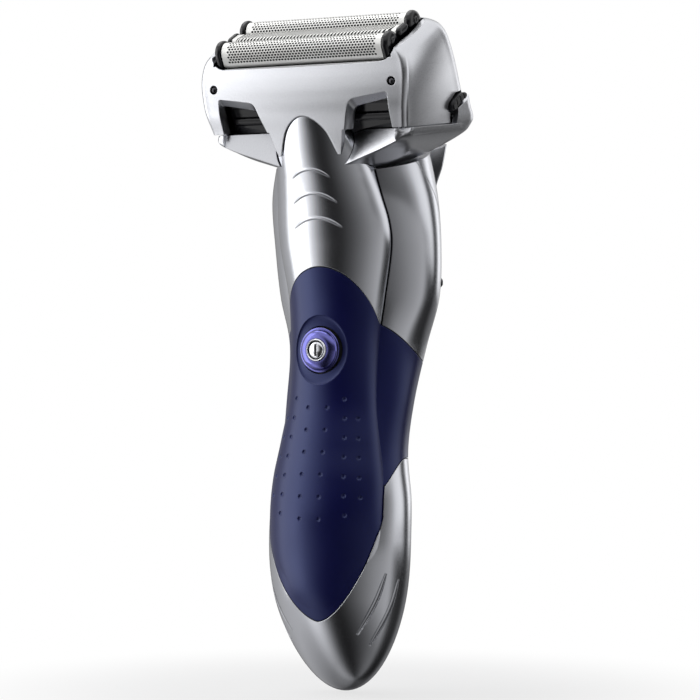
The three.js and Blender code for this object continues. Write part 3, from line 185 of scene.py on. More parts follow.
def curve(table, column):
    """A smooth function of height through one column of a table."""
    h, v = table[:, 0], table[:, column]
    last = len(h) - 1
    lo = [max(i - 1, 0) for i in range(last + 1)]
    hi = [min(i + 1, last) for i in range(last + 1)]
    slope = (v[hi] - v[lo]) / (h[hi] - h[lo])

    def value(x):
        x = np.asarray(x, float)
        i = np.clip(np.searchsorted(h, x, side="right") - 1, 0, last - 1)
        span = h[i + 1] - h[i]
        t = np.clip((x - h[i]) / span, 0, 1)
        t2, t3 = t * t, t * t * t
        return ((2 * t3 - 3 * t2 + 1) * v[i] + (t3 - 2 * t2 + t) * span * slope[i]
                + (3 * t2 - 2 * t3) * v[i + 1] + (t3 - t2) * span * slope[i + 1])

    return value


def curves(table):
    return [curve(table, k) for k in range(1, table.shape[1])]


body_w, body_c, body_f, body_b = curves(BODY)
spine_w, spine_edge, spine_crest, spine_root = curves(SPINE)
frame_w, frame_front, frame_back = curves(FRAME_SECTIONS)
housing_w, housing_back = curves(HOUSING)
tray_fh, tray_front, tray_w, tray_shoulder, tray_back = curves(TRAY)
upright_w, upright_back = curves(UPRIGHT)


def foot_taper(h, inset=0.0):
    t = np.minimum((np.asarray(h, float) - inset) / (FOOT_ROUNDING - inset), 1)
    return np.sqrt(np.maximum(1 - (1 - t) ** 2, 0))


def nose_taper(h, tip=NOSE_TIP):
    t = np.clip((np.asarray(h, float) - NOSE_START) / (tip - NOSE_START), 0, 1)
    return np.sqrt(np.maximum(1 - t * t, 0))


# ------------------------------------------------------------------ solids

scratch = bpy.data.collections.new("scratch")
bpy.context.scene.collection.children.link(scratch)


def read(items, name, width=1, kind=float):
    """One attribute of all the vertices, faces or corners of a mesh."""
    values = np.empty(len(items) * width, kind)
    items.foreach_get(name, values)
    return values.reshape(-1, width) if width > 1 else values


def pairs(values):
    return zip(values, values[1:])


class Solid:
    """A closed mesh that can be joined to, cut by and crossed with another."""

    def __init__(self, mesh):
        self.o = bpy.data.objects.new("solid", mesh)
        self.o.hide_render = True
        scratch.objects.link(self.o)

    @classmethod
    def of(cls, verts, faces):
        mesh = bpy.data.meshes.new("solid")
        mesh.from_pydata([tuple(map(float, p)) for p in verts], [], [tuple(map(int, f)) for f in faces])
        mesh.validate()
        mesh.calc_loop_triangles()
        v = read(mesh.vertices, "co", 3)
        t = read(mesh.loop_triangles, "vertices", 3, int)
        volume = np.einsum("ij,ij->i", v[t[:, 0]], np.cross(v[t[:, 1]], v[t[:, 2]])).sum()
        if volume < 0:
            mesh.flip_normals()
        return cls(mesh)

    @classmethod
    def of_form(cls, form):
        mesh = bpy.data.meshes.new("solid")
        form.to_mesh(mesh)
        form.free()
        return cls(mesh)

    @classmethod
    def together(cls, solids):
        """Closed solids that lie apart, as one."""
        form = bmesh.new()
        for solid in solids:
            form.from_mesh(solid.o.data)
        return cls.of_form(form)

    @classmethod
    def hull(cls, points):
        form = bmesh.new()
        for p in points:
            form.verts.new(p)
        bmesh.ops.convex_hull(form, input=form.verts)
        return cls.of_form(form)

    def combined(self, other, operation):
        out = Solid(self.o.data.copy())
        m = out.o.modifiers.new("cut", "BOOLEAN")
        m.operation = operation
        m.solver = "MANIFOLD"
        m.object = other.o
        graph = bpy.context.evaluated_depsgraph_get()
        graph.update()
        mesh = bpy.data.meshes.new_from_object(out.o.evaluated_get(graph))
        out.o.modifiers.clear()
        out.o.data = mesh
        return out

    def __sub__(self, other):
        return self.combined(other, "DIFFERENCE")

    def __and__(self, other):
        return self.combined(other, "INTERSECT")

    def __or__(self, other):
        return self.combined(other, "UNION")

    def cut_by(self, *tools):
        out = self
        for tool in tools:
            out = out - tool
        return out

    def moved(self, matrix):
        out = Solid(self.o.data.copy())
        out.o.data.transform(matrix)
        if matrix.determinant() < 0:
            out.o.data.flip_normals()
        return out


def loft(rings):
    """A skin over rings with the same number of points, closed at both ends."""
    n = len(rings[0])
    count = len(rings)
    verts = np.concatenate([np.asarray(r, float) for r in rings] + [
        np.mean(rings[0], axis=0)[None], np.mean(rings[-1], axis=0)[None]])
    faces = []
    for r in range(count - 1):
        for k in range(n):
            m = (k + 1) % n
            faces.append((r * n + k, r * n + m, (r + 1) * n + m, (r + 1) * n + k))
    for k in range(n):
        m = (k + 1) % n
        faces.append((count * n, m, k))
        faces.append((count * n + 1, (count - 1) * n + k, (count - 1) * n + m))
    return Solid.of(verts, faces)


def prism(points, frame_of):
    """An extruded outline: frame_of(a, b, end) gives the place of an outline point at end 0 or 1."""
    n = len(points)
    verts = [frame_of(a, b, end) for end in (0, 1) for a, b in points]
    faces = [tuple(range(n))[::-1], tuple(range(n, 2 * n))]
    faces += [(k, (k + 1) % n, n + (k + 1) % n, n + k) for k in range(n)]
    return Solid.of(verts, faces)


def side_prism(points, x0=-FAR, x1=FAR):
    return prism(points, lambda y, z, end: ((x0, x1)[end], y, z))


def front_prism(points, y0, y1):
    return prism(points, lambda x, z, end: (x, (y0, y1)[end], z))


def block(x0, x1, y0, y1, z0, z1):
    return side_prism([(y0, z0), (y1, z0), (y1, z1), (y0, z1)], x0, x1)


def slab(z0, z1):
    return block(-FAR, FAR, -FAR, FAR, z0, z1)


def full_turn(n):
    return np.arange(n) / n * 2 * math.pi


def half_turn(n):
    return np.linspace(0, math.pi, n)


def turned(profile, n=48, place=Matrix.Identity(4)):
    """A turned solid about local Z: the profile runs from the axis back to the axis."""
    a = full_turn(n)
    rings = []
    for radius, z in profile:
        r = max(radius, 1e-4)
        rings.append(np.stack([r * np.cos(a), r * np.sin(a), np.full(n, z)], 1))
    return loft(rings).moved(place)


def rod(radius, low, high, n, place):
    return turned([(0, low), (radius, low), (radius, high), (0, high)], n, place)


def tube(path, radii, n=10):
    """A closed tube along a path, with its own radius at each point."""
    path = np.asarray(path, float)
    radii = np.broadcast_to(np.asarray(radii, float), (len(path),))
    up = np.array([0.3, -1.0, 0.2])
    angle = full_turn(n)[:, None]
    rings = []
    for p, t, r in zip(path, np.gradient(path, axis=0), radii):
        t = t / np.linalg.norm(t)
        a = np.cross(t, up)
        a /= np.linalg.norm(a)
        b = np.cross(t, a)
        rings.append(p + r * (np.cos(angle) * a + np.sin(angle) * b))
    return loft(rings)


def body_ring(h, inset, n):
    taper = foot_taper(h, inset)
    w, front, back = (max((reach(h) - inset) * taper, THINNEST) for reach in (body_w, body_f, body_b))
    a = full_turn(n)
    reach = np.where(np.sin(a) < 0, front, back)
    return np.stack([w * np.cos(a), body_c(h) + reach * np.sin(a), np.full(n, float(h))], 1)


def body_form(inset, top, n=144, low_rows=26, rows=70):
    t = np.linspace(0, 1, low_rows + 1)[:-1]
    low = inset + (FOOT_ROUNDING - inset) * (1 - np.cos(t * math.pi / 2))
    return loft([body_ring(h, inset, n) for h in [*low, *np.linspace(FOOT_ROUNDING, top, rows + 1)]])


def rounded_corner(x, y, radius, start, n):
    a = np.radians(start + 90 * np.linspace(0, 1, n + 1))
    return np.stack([x + radius * np.cos(a), y + radius * np.sin(a)], 1)


def rear_corners(w, back, r, n):
    """The rounded rear corners of a section, from the right to the left."""
    return np.concatenate([rounded_corner(w - r, back - r, r, 0, n), rounded_corner(-w + r, back - r, r, 90, n)])


def bent(p, before, after, soft, n):
    """A corner softened over a short way to either side."""
    p, before, after = (np.array(q, float) for q in (p, before, after))
    a = p + (before - p) / np.linalg.norm(before - p) * soft
    b = p + (after - p) / np.linalg.norm(after - p) * soft
    t = np.linspace(0, 1, n)[:, None]
    return a * (1 - t) ** 2 + p * 2 * t * (1 - t) + b * t * t


def at_height(outline, h):
    return np.column_stack([outline, np.full(len(outline), float(h))])


def on_seam(outline, h):
    """A section that lies along the slope of the head seam."""
    ring = at_height(outline, h)
    ring[:, 2] = h + (ring[:, 1] - SEAM_FRONT) * SEAM_SLOPE
    return ring


def housing_form(grow, foot=106, corner=3, front=4):
    rings = []
    for h in np.linspace(foot, BODY_TOP, 49):
        w, back, r = float(housing_w(h)) + grow, float(housing_back(h)) + grow, corner + grow
        rings.append(at_height([*rear_corners(w, back, r, 12), [-w + r, front], [w - r, front]], h))
    return loft(rings)


def above_slope(y, z, slope):
    """Above a plane through (y, z) that rises towards the back."""
    low, high = (z + (end - y) * slope for end in (-FAR, FAR))
    return side_prism([(-FAR, low), (FAR, high), (FAR, OVER), (-FAR, OVER)])


def above_roof(shift):
    return above_slope(0, ROOF_HEIGHT + shift, ROOF_SLOPE)


def above_head_seam(shift):
    return above_slope(SEAM_FRONT, SEAM_HEIGHT + shift, SEAM_SLOPE)


def spine_ring(h, inset, n, tip):
    taper = nose_taper(h, tip)
    w = max((spine_w(h) - inset) * taper, THINNEST)
    edge = spine_edge(h)
    rise = max((edge - spine_crest(h) - inset) * taper, THINNEST)
    a = half_turn(n + 1)
    arc = np.stack([w * np.cos(a), edge - rise * np.sin(a), np.full(n + 1, float(h))], 1)
    root = spine_root(h) - min(inset, 0)
    return np.concatenate([arc, [[-w, root, h], [w, root, h]]])


def spine_form(inset, bottom, top=NOSE_TIP, n=84, rows=96):
    tip = NOSE_TIP - inset
    heights = [*np.linspace(bottom, NOSE_START, rows + 1)]
    if top > NOSE_START:
        t = np.linspace(0, 1, 27)[1:]
        heights += [*(NOSE_START + (tip - NOSE_START) * np.sin(t * math.pi / 2))]
    return loft([spine_ring(h, inset, n, tip) for h in heights])


# ------------------------------------------------------------------ smooth normals from the forms

def body_field(p):
    """About 0 on the body's surface and positive outside it, as for the two forms below."""
    x, y, z = p.T
    taper = np.maximum(foot_taper(z), 1e-3)
    c = body_c(z)
    r = np.where(y < c, body_f(z), body_b(z)) * taper
    return np.sqrt((x / (body_w(z) * taper)) ** 2 + ((y - c) / r) ** 2) - 1


def spine_field(p):
    x, y, z = p.T
    taper = np.maximum(nose_taper(z), 1e-3)
    w = spine_w(z) * taper
    e = spine_edge(z)
    rise = (e - spine_crest(z)) * taper
    front = np.sqrt((x / w) ** 2 + ((e - y) / rise) ** 2) - 1
    return np.where(y < e, front, np.abs(x) / w - 1)


def frame_field(p):
    q = p @ FROM_HEAD[:3, :3].T + FROM_HEAD[:3, 3]
    x, v, n = q.T
    w, front, back = frame_w(n), frame_front(n), frame_back(n)
    mid, half = (front + back) / 2, (back - front) / 2
    bulge = FRAME_CROWN * (1 - np.clip(x / (w - FRONT_CORNER), -1, 1) ** 2)
    r = np.where(v < mid, FRONT_CORNER, REAR_CORNER)
    low, high = front + FRONT_CORNER, back - REAR_CORNER
    k = np.clip((2 * v - low - high) / (high - low), -1, 1)
    w = w + FRAME_SIDE_CROWN * (1 - k * k)
    v = np.where(v < mid, v + bulge, v)
    qx = np.abs(x) - w + r
    qy = np.abs(v - mid) - half + r
    return np.minimum(np.maximum(qx, qy), 0) + np.hypot(np.maximum(qx, 0), np.maximum(qy, 0)) - r


def gradient(field, p, step=0.02):
    g = np.empty_like(p)
    for k in range(3):
        d = np.zeros(3)
        d[k] = step
        g[:, k] = (field(p + d) - field(p - d)) / (2 * step)
    return g


def lifted(point, field, lift):
    """A point moved off a form's surface, along its normal."""
    p = np.array([point])
    n = gradient(field, p)[0]
    return p[0] + n / np.linalg.norm(n) * lift


def spine_point(x, h, lift=0.0):
    taper = float(nose_taper(h))
    w, e = float(spine_w(h)) * taper, float(spine_edge(h))
    rise = (e - float(spine_crest(h))) * taper
    return lifted((x, e - rise * math.sqrt(max(1 - (x / w) ** 2, 0)), h), spine_field, lift)


def body_point(x, h, lift=0.0):
    """A point on the body's front, at least as far from its edge as its normal stays sound."""
    taper = float(foot_taper(h))
    w = float(body_w(h)) * taper
    a = math.acos(min(x / w, 0.995))
    return lifted((w * math.cos(a), float(body_c(h)) - float(body_f(h)) * taper * math.sin(a), h), body_field, lift)


def smooth_normals(mesh, fields, angle, flat):
    """Rounded shading: the forms' own normals where a face lies on one, and by angle elsewhere.
    With flat, faces wider than that many square millimetres are shaded flat."""
    mesh.shade_smooth()
    mesh.set_sharp_from_angle(angle=math.radians(angle))
    normals = read(mesh.corner_normals, "vector", 3)
    corners = read(mesh.polygons, "loop_total", kind=int)
    facing = np.repeat(read(mesh.polygons, "normal", 3), corners, axis=0)
    if flat:
        wide = np.repeat(read(mesh.polygons, "area"), corners) > flat
        normals[wide] = facing[wide]
    points = read(mesh.vertices, "co", 3)
    vertex = read(mesh.loops, "vertex_index", kind=int)
    best = np.full(len(normals), math.cos(math.radians(30)))
    for field in fields:
        g = gradient(field, points)
        length = np.maximum(np.linalg.norm(g, axis=1), 1e-9)
        n = (g / length[:, None])[vertex]
        on = np.abs(field(points)) / length < 0.05
        match = np.einsum("ij,ij->i", n, facing)
        use = on[vertex] & (match > best)
        normals[use] = n[use]
        best = np.where(use, match, best)
    mesh.normals_split_custom_set(normals.tolist())


def place(solid, name, body, slot, replaces=(), fields=(), angle=32, flat=0, look=None):
    """Turns a solid into a piece of the part: shaded, scaled to metres, in the part's frame.
    It has the look of its slot, unless look names another slot's."""
    mesh = solid.o.data.copy()
    mesh.name = name
    smooth_normals(mesh, fields, angle, flat)
    normals = read(mesh.corner_normals, "vector", 3)
    mesh.transform(Matrix.Scale(0.001, 4) @ Matrix.Translation((0, 0, -GRIP_HEIGHT)))
    mesh.normals_split_custom_set(normals.tolist())
    mesh.materials.clear()
    mesh.materials.append(LOOK[look or slot])
    o = bpy.data.objects.new(name, mesh)
    bpy.context.scene.collection.objects.link(o)
    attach(o, body)
    if replaces:
        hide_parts(*replaces)
    return o


# ------------------------------------------------------------------ materials

def feed(tree, target, inputs):
    """Sets a node's inputs, each to a value or to another node's output."""
    for socket, value in inputs.items():
        if isinstance(value, bpy.types.NodeSocket):
            tree.links.new(value, target.inputs[socket])
        else:
            target.inputs[socket].default_value = value
    return target


def node(tree, kind, inputs=None, **settings):
    made = tree.nodes.new("ShaderNode" + kind)
    for name, value in settings.items():
        setattr(made, name, value)
    return feed(tree, made, inputs or {})


def ranged(tree, source, from_min=0, from_max=1, to_min=0, to_max=1, **settings):
    """A value carried from one range over to another, and kept inside it."""
    return node(tree, "MapRange", {"Value": source, "From Min": from_min, "From Max": from_max, "To Min": to_min,
                                   "To Max": to_max}, **settings).outputs["Result"]


def new_material(name):
    material = bpy.data.materials.new(name)
    material.use_nodes = True
    return material, material.node_tree, material.node_tree.nodes["Principled BSDF"]


def surface(name, dark, light, metallic, rough, grain=6000, grain_depth=0.02, coat=0.0, coat_rough=0.1,
            edge=0.0002, specular=0.5, specular_tint=(1, 1, 1, 1)):
    """A painted, moulded or ground surface: faint patches, a fine grain and softened edges."""
    material, tree, shader = new_material(name)
    where = node(tree, "TexCoord").outputs["Object"]
    patches, fine = (node(tree, "TexNoise", {"Vector": where, "Scale": scale, "Detail": detail}).outputs["Fac"]
                     for scale, detail in ((60, 3), (grain, 2)))
    tint = node(tree, "ValToRGB", {"Fac": patches})
    for element, colour, position in zip(tint.color_ramp.elements, (dark, light), (0.3, 0.7)):
        element.color = (*colour, 1)
        element.position = position
    bump = node(tree, "Bump", {"Strength": grain_depth, "Distance": 0.0001, "Height": fine})
    if edge:
        feed(tree, bump, {"Normal": node(tree, "Bevel", {"Radius": edge}, samples=4).outputs["Normal"]})
    feed(tree, shader, {
        "Base Color": tint.outputs["Color"], "Roughness": ranged(tree, fine, to_min=rough[0], to_max=rough[1]),
        "Normal": bump.outputs["Normal"], "Metallic": metallic, "Coat Weight": coat, "Coat Roughness": coat_rough,
        "Specular IOR Level": specular, "Specular Tint": specular_tint})
    return material


LOOK = {  # the look of each material slot: dark and light patches, metallic, range of roughness
    "silver_shell": surface("silver_paint", (0.55, 0.56, 0.595), (0.59, 0.60, 0.635), 1.0, (0.17, 0.21),
                            grain=9000, grain_depth=0.05, coat=0.15, coat_rough=0.12),
    # The head's silver paint is lighter than the shell's: painted light, standing in for the brighter light on the
    # head's front.
    "silver_head": surface("silver_head_paint_lightened", (0.65, 0.66, 0.69), (0.69, 0.70, 0.73), 1.0, (0.25, 0.31),
                           grain=9000, grain_depth=0.05, coat=0.2, coat_rough=0.14),
    "soft_grip": surface("navy_soft_touch", (0.003, 0.003, 0.068), (0.004, 0.004, 0.080), 0.0, (0.27, 0.35),
                         grain=7000, grain_depth=0.05, specular=0.78, specular_tint=(0.46, 0.56, 1.0, 1)),
    "black_gloss": surface("gloss_black", (0.006, 0.006, 0.008), (0.010, 0.010, 0.013), 0.0, (0.14, 0.22), grain=5000),
    "black_plastic": surface("satin_black", (0.010, 0.010, 0.012), (0.018, 0.018, 0.021), 0.0, (0.32, 0.42),
                             grain=7000, grain_depth=0.06),
    "casing": surface("grey_casing", (0.030, 0.032, 0.036), (0.042, 0.044, 0.050), 0.0, (0.45, 0.6), grain=5000,
                      grain_depth=0.08),
    "button_blue": surface("blue_button", (0.11, 0.11, 0.40), (0.13, 0.13, 0.45), 0.92, (0.12, 0.18), grain=9000,
                           coat=0.8),
    "chrome_trim": surface("bright_chrome", (0.80, 0.81, 0.84), (0.84, 0.85, 0.88), 1.0, (0.07, 0.11), grain=4000),
    "foil_steel": surface("foil_steel", (0.66, 0.66, 0.64), (0.72, 0.72, 0.70), 1.0, (0.34, 0.42), grain=8000, edge=0),
    # The inner blades' steel is near black: painted shade, so that the foils' holes look dark.
    "blade_steel": surface("blade_steel", (0.04, 0.041, 0.043), (0.06, 0.061, 0.063), 1.0, (0.35, 0.5), edge=0),
    "dark_steel": surface("dark_steel", (0.05, 0.05, 0.055), (0.08, 0.08, 0.085), 1.0, (0.22, 0.3), edge=0),
    "board": surface("green_board", (0.012, 0.10, 0.035), (0.02, 0.14, 0.05), 0.0, (0.3, 0.45), edge=0),
    "cell_wrap": surface("green_sleeve", (0.03, 0.20, 0.07), (0.04, 0.24, 0.09), 0.0, (0.22, 0.32), edge=0),
    "contact_metal": surface("brass", (0.62, 0.45, 0.16), (0.70, 0.52, 0.20), 1.0, (0.2, 0.32), edge=0),
    "motor_can": surface("motor_steel", (0.40, 0.41, 0.43), (0.48, 0.49, 0.51), 1.0, (0.25, 0.4), edge=0),
    "boot_rubber": surface("black_rubber", (0.012, 0.012, 0.013), (0.02, 0.02, 0.022), 0.0, (0.6, 0.75), edge=0),
}
for part in frame["record"]["subparts"]:
    slots = frame["nodes"][part["node"]].data.materials
    slots.clear()
    slots.append(LOOK[part["material_slot"]])

# ------------------------------------------------------------------ parting lines

def behind_seam(shift):
    line = []
    for h in np.linspace(0, BODY_TOP, 90):
        swept = SEAM_SWEEP * (max(h - SEAM_BEND, 0) / 20) ** 1.6
        y = body_c(h) + foot_taper(max(h, 1)) * body_b(h) * math.sin(SEAM_ANGLE) - swept + shift
        line.append((float(y), h))
    return side_prism([(line[0][0], UNDER), *line, (line[-1][0], OVER), (FAR, OVER), (FAR, UNDER)])


def easing_line(start, end, shift):
    """A line from one (y, z) to another that levels out towards its end, and runs on from there."""
    (y0, z0), (y1, z1) = start, end
    line = [(y0 + (y1 - y0) * t, z0 + (z1 - z0) * math.sin(t * math.pi / 2) + shift) for t in np.linspace(0, 1, 33)]
    return [(-FAR, line[0][1]), *line, (FAR, z1 + shift)]


def above_hem(shift):
    seam = float(body_c(HEM_REAR) + body_b(HEM_REAR) * math.sin(SEAM_ANGLE))
    line = easing_line((float(spine_edge(ARCH_SPRING)), ARCH_SPRING), (seam, HEM_REAR), shift)
    return side_prism([*line, (FAR, OVER), (-FAR, OVER)])


def below_cap_top(shift):
    line = easing_line((float(spine_edge(CAP_EDGE)), CAP_EDGE), (float(body_c(CAP_PEAK)) + 2, CAP_PEAK), shift)
    return side_prism([(-FAR, UNDER), *line, (FAR, UNDER)])


def tongue(grow):
    """The grip's tongue: the lower half of a full oval, down to its tip."""
    half = float(spine_w(TONGUE_HEIGHT)) + grow
    drop = TONGUE_HEIGHT - TONGUE_TIP + grow
    power = 2 / TONGUE_FULLNESS
    arc = []
    for a in np.linspace(-math.pi, 0, 97):
        c, s = math.cos(a), math.sin(a)
        arc.append((half * math.copysign(abs(c) ** power, c), TONGUE_HEIGHT - drop * abs(s) ** power))
    return front_prism(arc, -FAR, TONGUE_DEPTH + grow)


def below_arch(shift):
    half = float(spine_w(ARCH_SPRING))
    foot = ARCH_SPRING + shift
    arc = [(half * math.cos(a), foot + (ARCH_HEIGHT - ARCH_SPRING) * math.sin(a)) for a in half_turn(81)]
    return front_prism([*arc, (-FAR, foot), (-FAR, UNDER), (FAR, UNDER), (FAR, foot)], -FAR, FAR)


# ------------------------------------------------------------------ handle

body_solid = (body_form(0, BODY_TOP) | housing_form(0)) - above_roof(0)
spine_solid = spine_form(0, SPINE_FOOT)
spine_grown = spine_form(-GAP, SPINE_FOOT)
inner = body_form(SKIN, NOSE_START, 48, 8, 18) | spine_form(SKIN, 26, NOSE_START, 24, 24)
body_shell = body_solid - inner
spine_shell = spine_solid - inner
handle_shell = (body_solid | spine_solid) - inner
cap_line = below_cap_top(GAP)

front_shell = ((body_shell - behind_seam(0)) & above_hem(GAP)) - spine_grown
place(front_shell, "shoulder_shell", "handle", "silver_shell", ["front_shell"], [body_field])

# Nose with three raised crescents: half length, height of the ends, rise of the middle
CRESCENTS = ((5.3, 119.1, 2.2), (6.2, 113.3, 2.6), (6.8, 107.6, 2.7))
nose = (spine_shell - below_arch(GAP)) & slab(ARCH_SPRING + GAP, OVER)
t = np.linspace(-1, 1, 41)
for half, low, rise in CRESCENTS:
    path = [spine_point(half * k, low + rise * (1 - k * k), -0.12) for k in t]
    nose = nose | tube(path, 0.08 + 0.36 * (1 - np.abs(t) ** 4))
place(nose, "nose_cover", "handle", "silver_shell", ["nose_panel"], [spine_field])

# Navy grip, with a dished recess round the power button and rows of dimples
grip_spine = (spine_shell & below_arch(0)) & slab(TONGUE_HEIGHT, OVER)
grip_sides = (body_shell - behind_seam(0)).cut_by(above_hem(0), cap_line)
grip = ((handle_shell & tongue(0)) | grip_spine) | grip_sides

button_face = float(spine_crest(BUTTON_HEIGHT))
ON_BUTTON = Matrix.Translation((0, 0, BUTTON_HEIGHT)) @ Matrix.Rotation(math.pi / 2, 4, "X")
DISH_WIDTH, DISH_HEIGHT, DISH_DEPTH = 6.9, 8.1, 1.2


def dish_ring(r, y=None):
    """A ring of the recess: sunk into the surface inside its rim, at r = 1, and lifted off it outside."""
    sunk = DISH_DEPTH * max(1 - r * r, 0) ** 0.55 if r <= 1 else -12 * (r - 1)
    ring = []
    for a in full_turn(72):
        x, h = DISH_WIDTH * r * math.cos(a), BUTTON_HEIGHT + DISH_HEIGHT * r * math.sin(a)
        ring.append((x, spine_point(x, h)[1] + sunk if y is None else y, h))
    return ring


dish = [dish_ring(r) for r in (0.05, 0.4, 0.6, 0.7, 0.78, 0.84, 0.89, 0.93, 0.96, 0.98, 1.0, 1.03, 1.08)]
grip = grip.cut_by(loft([*dish, dish_ring(1.08, -40)]), rod(BUTTON_RADIUS + 0.35, -button_face - 20, 40, 72, ON_BUTTON))

# Rows of dimples: distance from the middle at the top and at the foot, height of both, how many
DIMPLE_ROWS = ((2.5, 2.5, 66.5, 41, 6), (6.4, 8.6, 68.5, 42, 7), (9.4, 11.6, 64, 46, 5))
DIMPLE_RADIUS = 0.72
DIMPLE_LIFT = 0.42  # the balls' centres, off the surface
ball = [(DIMPLE_RADIUS * math.sin(a), DIMPLE_RADIUS * math.cos(a)) for a in half_turn(9)]
dimples = []
for x0, x1, top, low, count in DIMPLE_ROWS:
    for t in np.linspace(0, 1, count):
        for side in (-1, 1):
            centre = spine_point(side * (x0 + (x1 - x0) * t), top + (low - top) * t, DIMPLE_LIFT)
            dimples.append(turned(ball, 16, Matrix.Translation(centre)))
place(grip - Solid.together(dimples), "soft_grip", "handle", "soft_grip", ["front_grip"], [body_field, spine_field], 40)

# Rear shells, with the trimmer's channel
rear_band = body_shell & behind_seam(GAP)
rear_line = [float(body_c(h) + body_b(h)) for h in (TRIMMER_FOOT, ROOF_HEIGHT)]
trimmer_lean = math.atan2(rear_line[1] - rear_line[0], ROOF_HEIGHT - TRIMMER_FOOT)
TO_TRIMMER = Matrix.Translation((0, rear_line[0], TRIMMER_FOOT)) @ Matrix.Rotation(-trimmer_lean, 4, "X")

# Room for the trimmer's slide and for its wider comb: half width, depth and foot
SLIDE_ROOM, COMB_ROOM = (8.35, -1.0, -2.5), (11.55, -2.55, 22.85)
slide_room, comb_room = (block(-w, w, y, 9, foot, 43.5) for w, y, foot in (SLIDE_ROOM, COMB_ROOM))
rear_upper = (rear_band & slab(HEM_REAR + GAP, OVER)) - (slide_room | comb_room).moved(TO_TRIMMER)
rear_grip = rear_band.cut_by(slab(HEM_REAR, OVER), cap_line)
place(rear_upper, "rear_cover", "handle", "silver_shell", ["rear_shell"], [body_field])
place(rear_grip, "rear_soft_grip", "handle", "soft_grip", ["rear_grip"], [body_field])

# Bottom cap, with two bowed grooves on each side and the socket's boss
GROOVES = (((15.6, 28.5), (8.6, 14.3), 1.04), ((17.0, 27.1), (10.4, 11.6), 1.2))  # ends as (x, height), bow
SOCKET_HEIGHT = 7.5
socket_depth = float(body_c(SOCKET_HEIGHT) + body_b(SOCKET_HEIGHT) * foot_taper(SOCKET_HEIGHT))
ON_SOCKET = (Matrix.Translation((0, socket_depth, SOCKET_HEIGHT))
             @ Matrix.Rotation(math.pi + math.radians(48), 4, "X"))


def round_ended(half_w, half_h, z0, z1):
    reach = half_w - half_h
    outline = [(end * (reach + half_h * math.cos(a)), end * half_h * math.sin(a))
               for end in (1, -1) for a in np.linspace(-math.pi / 2, math.pi / 2, 20)]
    return prism(outline, lambda a, b, end: (a, b, (z0, z1)[end])).moved(ON_SOCKET)


cap = (handle_shell & below_cap_top(0)).cut_by(tongue(GAP), spine_grown & slab(TONGUE_HEIGHT, OVER))
t = np.linspace(0, 1, 37)
groove = 0.16 + 0.5 * np.sin(np.clip(t, 0.02, 0.98) * math.pi) ** 0.5
for side in (-1, 1):
    for (x0, h0), (x1, h1), bow in GROOVES:
        path = [body_point(x0 + (x1 - x0) * k + bow * math.sin(k * math.pi), h0 + (h1 - h0) * k, 0.05) for k in t]
        cap = cap - tube(np.array(path) * [side, 1, 1], groove, 12)
cap = cap | (round_ended(7.4, 5.6, -3.6, 6) & body_solid)
cap = cap.cut_by(round_ended(6.2, 4.4, -1.4, 6), round_ended(4.7, 3.0, -8, 6))
place(cap, "foot_cap", "handle", "silver_shell", ["bottom_cap"], [body_field, spine_field])

# Power button: a domed ring and its chrome middle with a plain mark. The profiles are in radius and
# height, with the ring's top or foot at 0.
RING_TOP = -button_face + 0.8
RING_FOOT = -button_face - 0.5
SHOULDER = BUTTON_RADIUS - 0.5


def raised(base, profile):
    return [(r, base + z) for r, z in profile]


ring = raised(RING_FOOT, [(0, -3.2), (1.6, -3.2), (1.6, -0.4), (BUTTON_RADIUS, -0.4), (BUTTON_RADIUS, -0.16),
                          (BUTTON_RADIUS - 0.12, -0.04), (BUTTON_RADIUS - 0.42, 0), (SHOULDER, 0.1)])
ring += raised(RING_TOP, [(SHOULDER - 2.0 * (1 - math.cos(a)), -1.25 + 1.25 * math.sin(a))
                          for a in np.linspace(0.1, 1, 14) * math.pi / 2])
ring += raised(RING_TOP, [(2.72, 0), (2.68, -0.5), (0, -0.5)])
place(turned(ring, 72, ON_BUTTON), "button_ring", "button", "button_blue", ["power_button"], angle=40)
middle = turned(raised(RING_TOP, [
    (0, -0.45), (2.62, -0.45), (2.62, 0.1), (2.55, 0.3), (2.42, 0.38), (2.28, 0.3), (2.22, 0.1), (2.2, -0.3),
    (1.9, -0.3), (1.88, 0.1), (1.8, 0.2), (1.4, 0.33), (0.8, 0.41), (0, 0.44)]), 64, ON_BUTTON)
middle = middle - block(-0.3, 0.3, -RING_TOP - 2, -RING_TOP - 0.1, BUTTON_HEIGHT - 1.4, BUTTON_HEIGHT + 1.4)
place(middle, "button_middle", "button", "chrome_trim", ["button_badge"], angle=40)
mark = turned(raised(RING_TOP, [(1.91, -0.3), (2.19, -0.3), (2.19, -0.12), (1.91, -0.12)]), 64, ON_BUTTON)
mark = mark | block(-0.28, 0.28, -RING_TOP - 0.3, -RING_TOP - 0.1, BUTTON_HEIGHT - 1.38, BUTTON_HEIGHT + 1.38)
place(mark, "button_mark", "button", "black_plastic")

# ------------------------------------------------------------------ head: windows, tongue and pads

# The windows' corners, as distance from the middle, height and rounding. The window narrows through the wall.
WINDOW_FACE = [(22.5, 138.4, 0.7), (12.6, 136.6, 1.5), (8.3, 124.5, 0), (8.3, 110, 0), (22.5, 110, 0)]
WINDOW_BACK = [(22.2, 136.7, 0.7), (13.1, 135.1, 1.2), (9.0, 124.5, 0), (9.0, 110, 0), (22.2, 110, 0)]
WINDOW_BEND = (-22.1, 134.25)  # where the frame's front turns, as depth and height
RELEASE_PAD = [(1.9, 135.2), (1.7, 136.9), (4.8, 139.0), (8.4, 140.2), (8.8, 138.9), (5.6, 137.4), (3.2, 135.3)]
RELEASE_OUTER = float(frame_w(-20)) + 1.3
RIBS = ((3.5, 137.1), (5.2, 138.1), (6.9, 138.9))  # the middles of the pads' grip ribs
PIN_X, PIN_HEIGHT, PIN_RADIUS = 23.6, 140.2, 0.8
FACET = [np.array(c) for c in ((11.7, -17.7, 123.1), (23.6, -19.0, 126.9), (21.6, -17.3, 130.2))]  # below a window


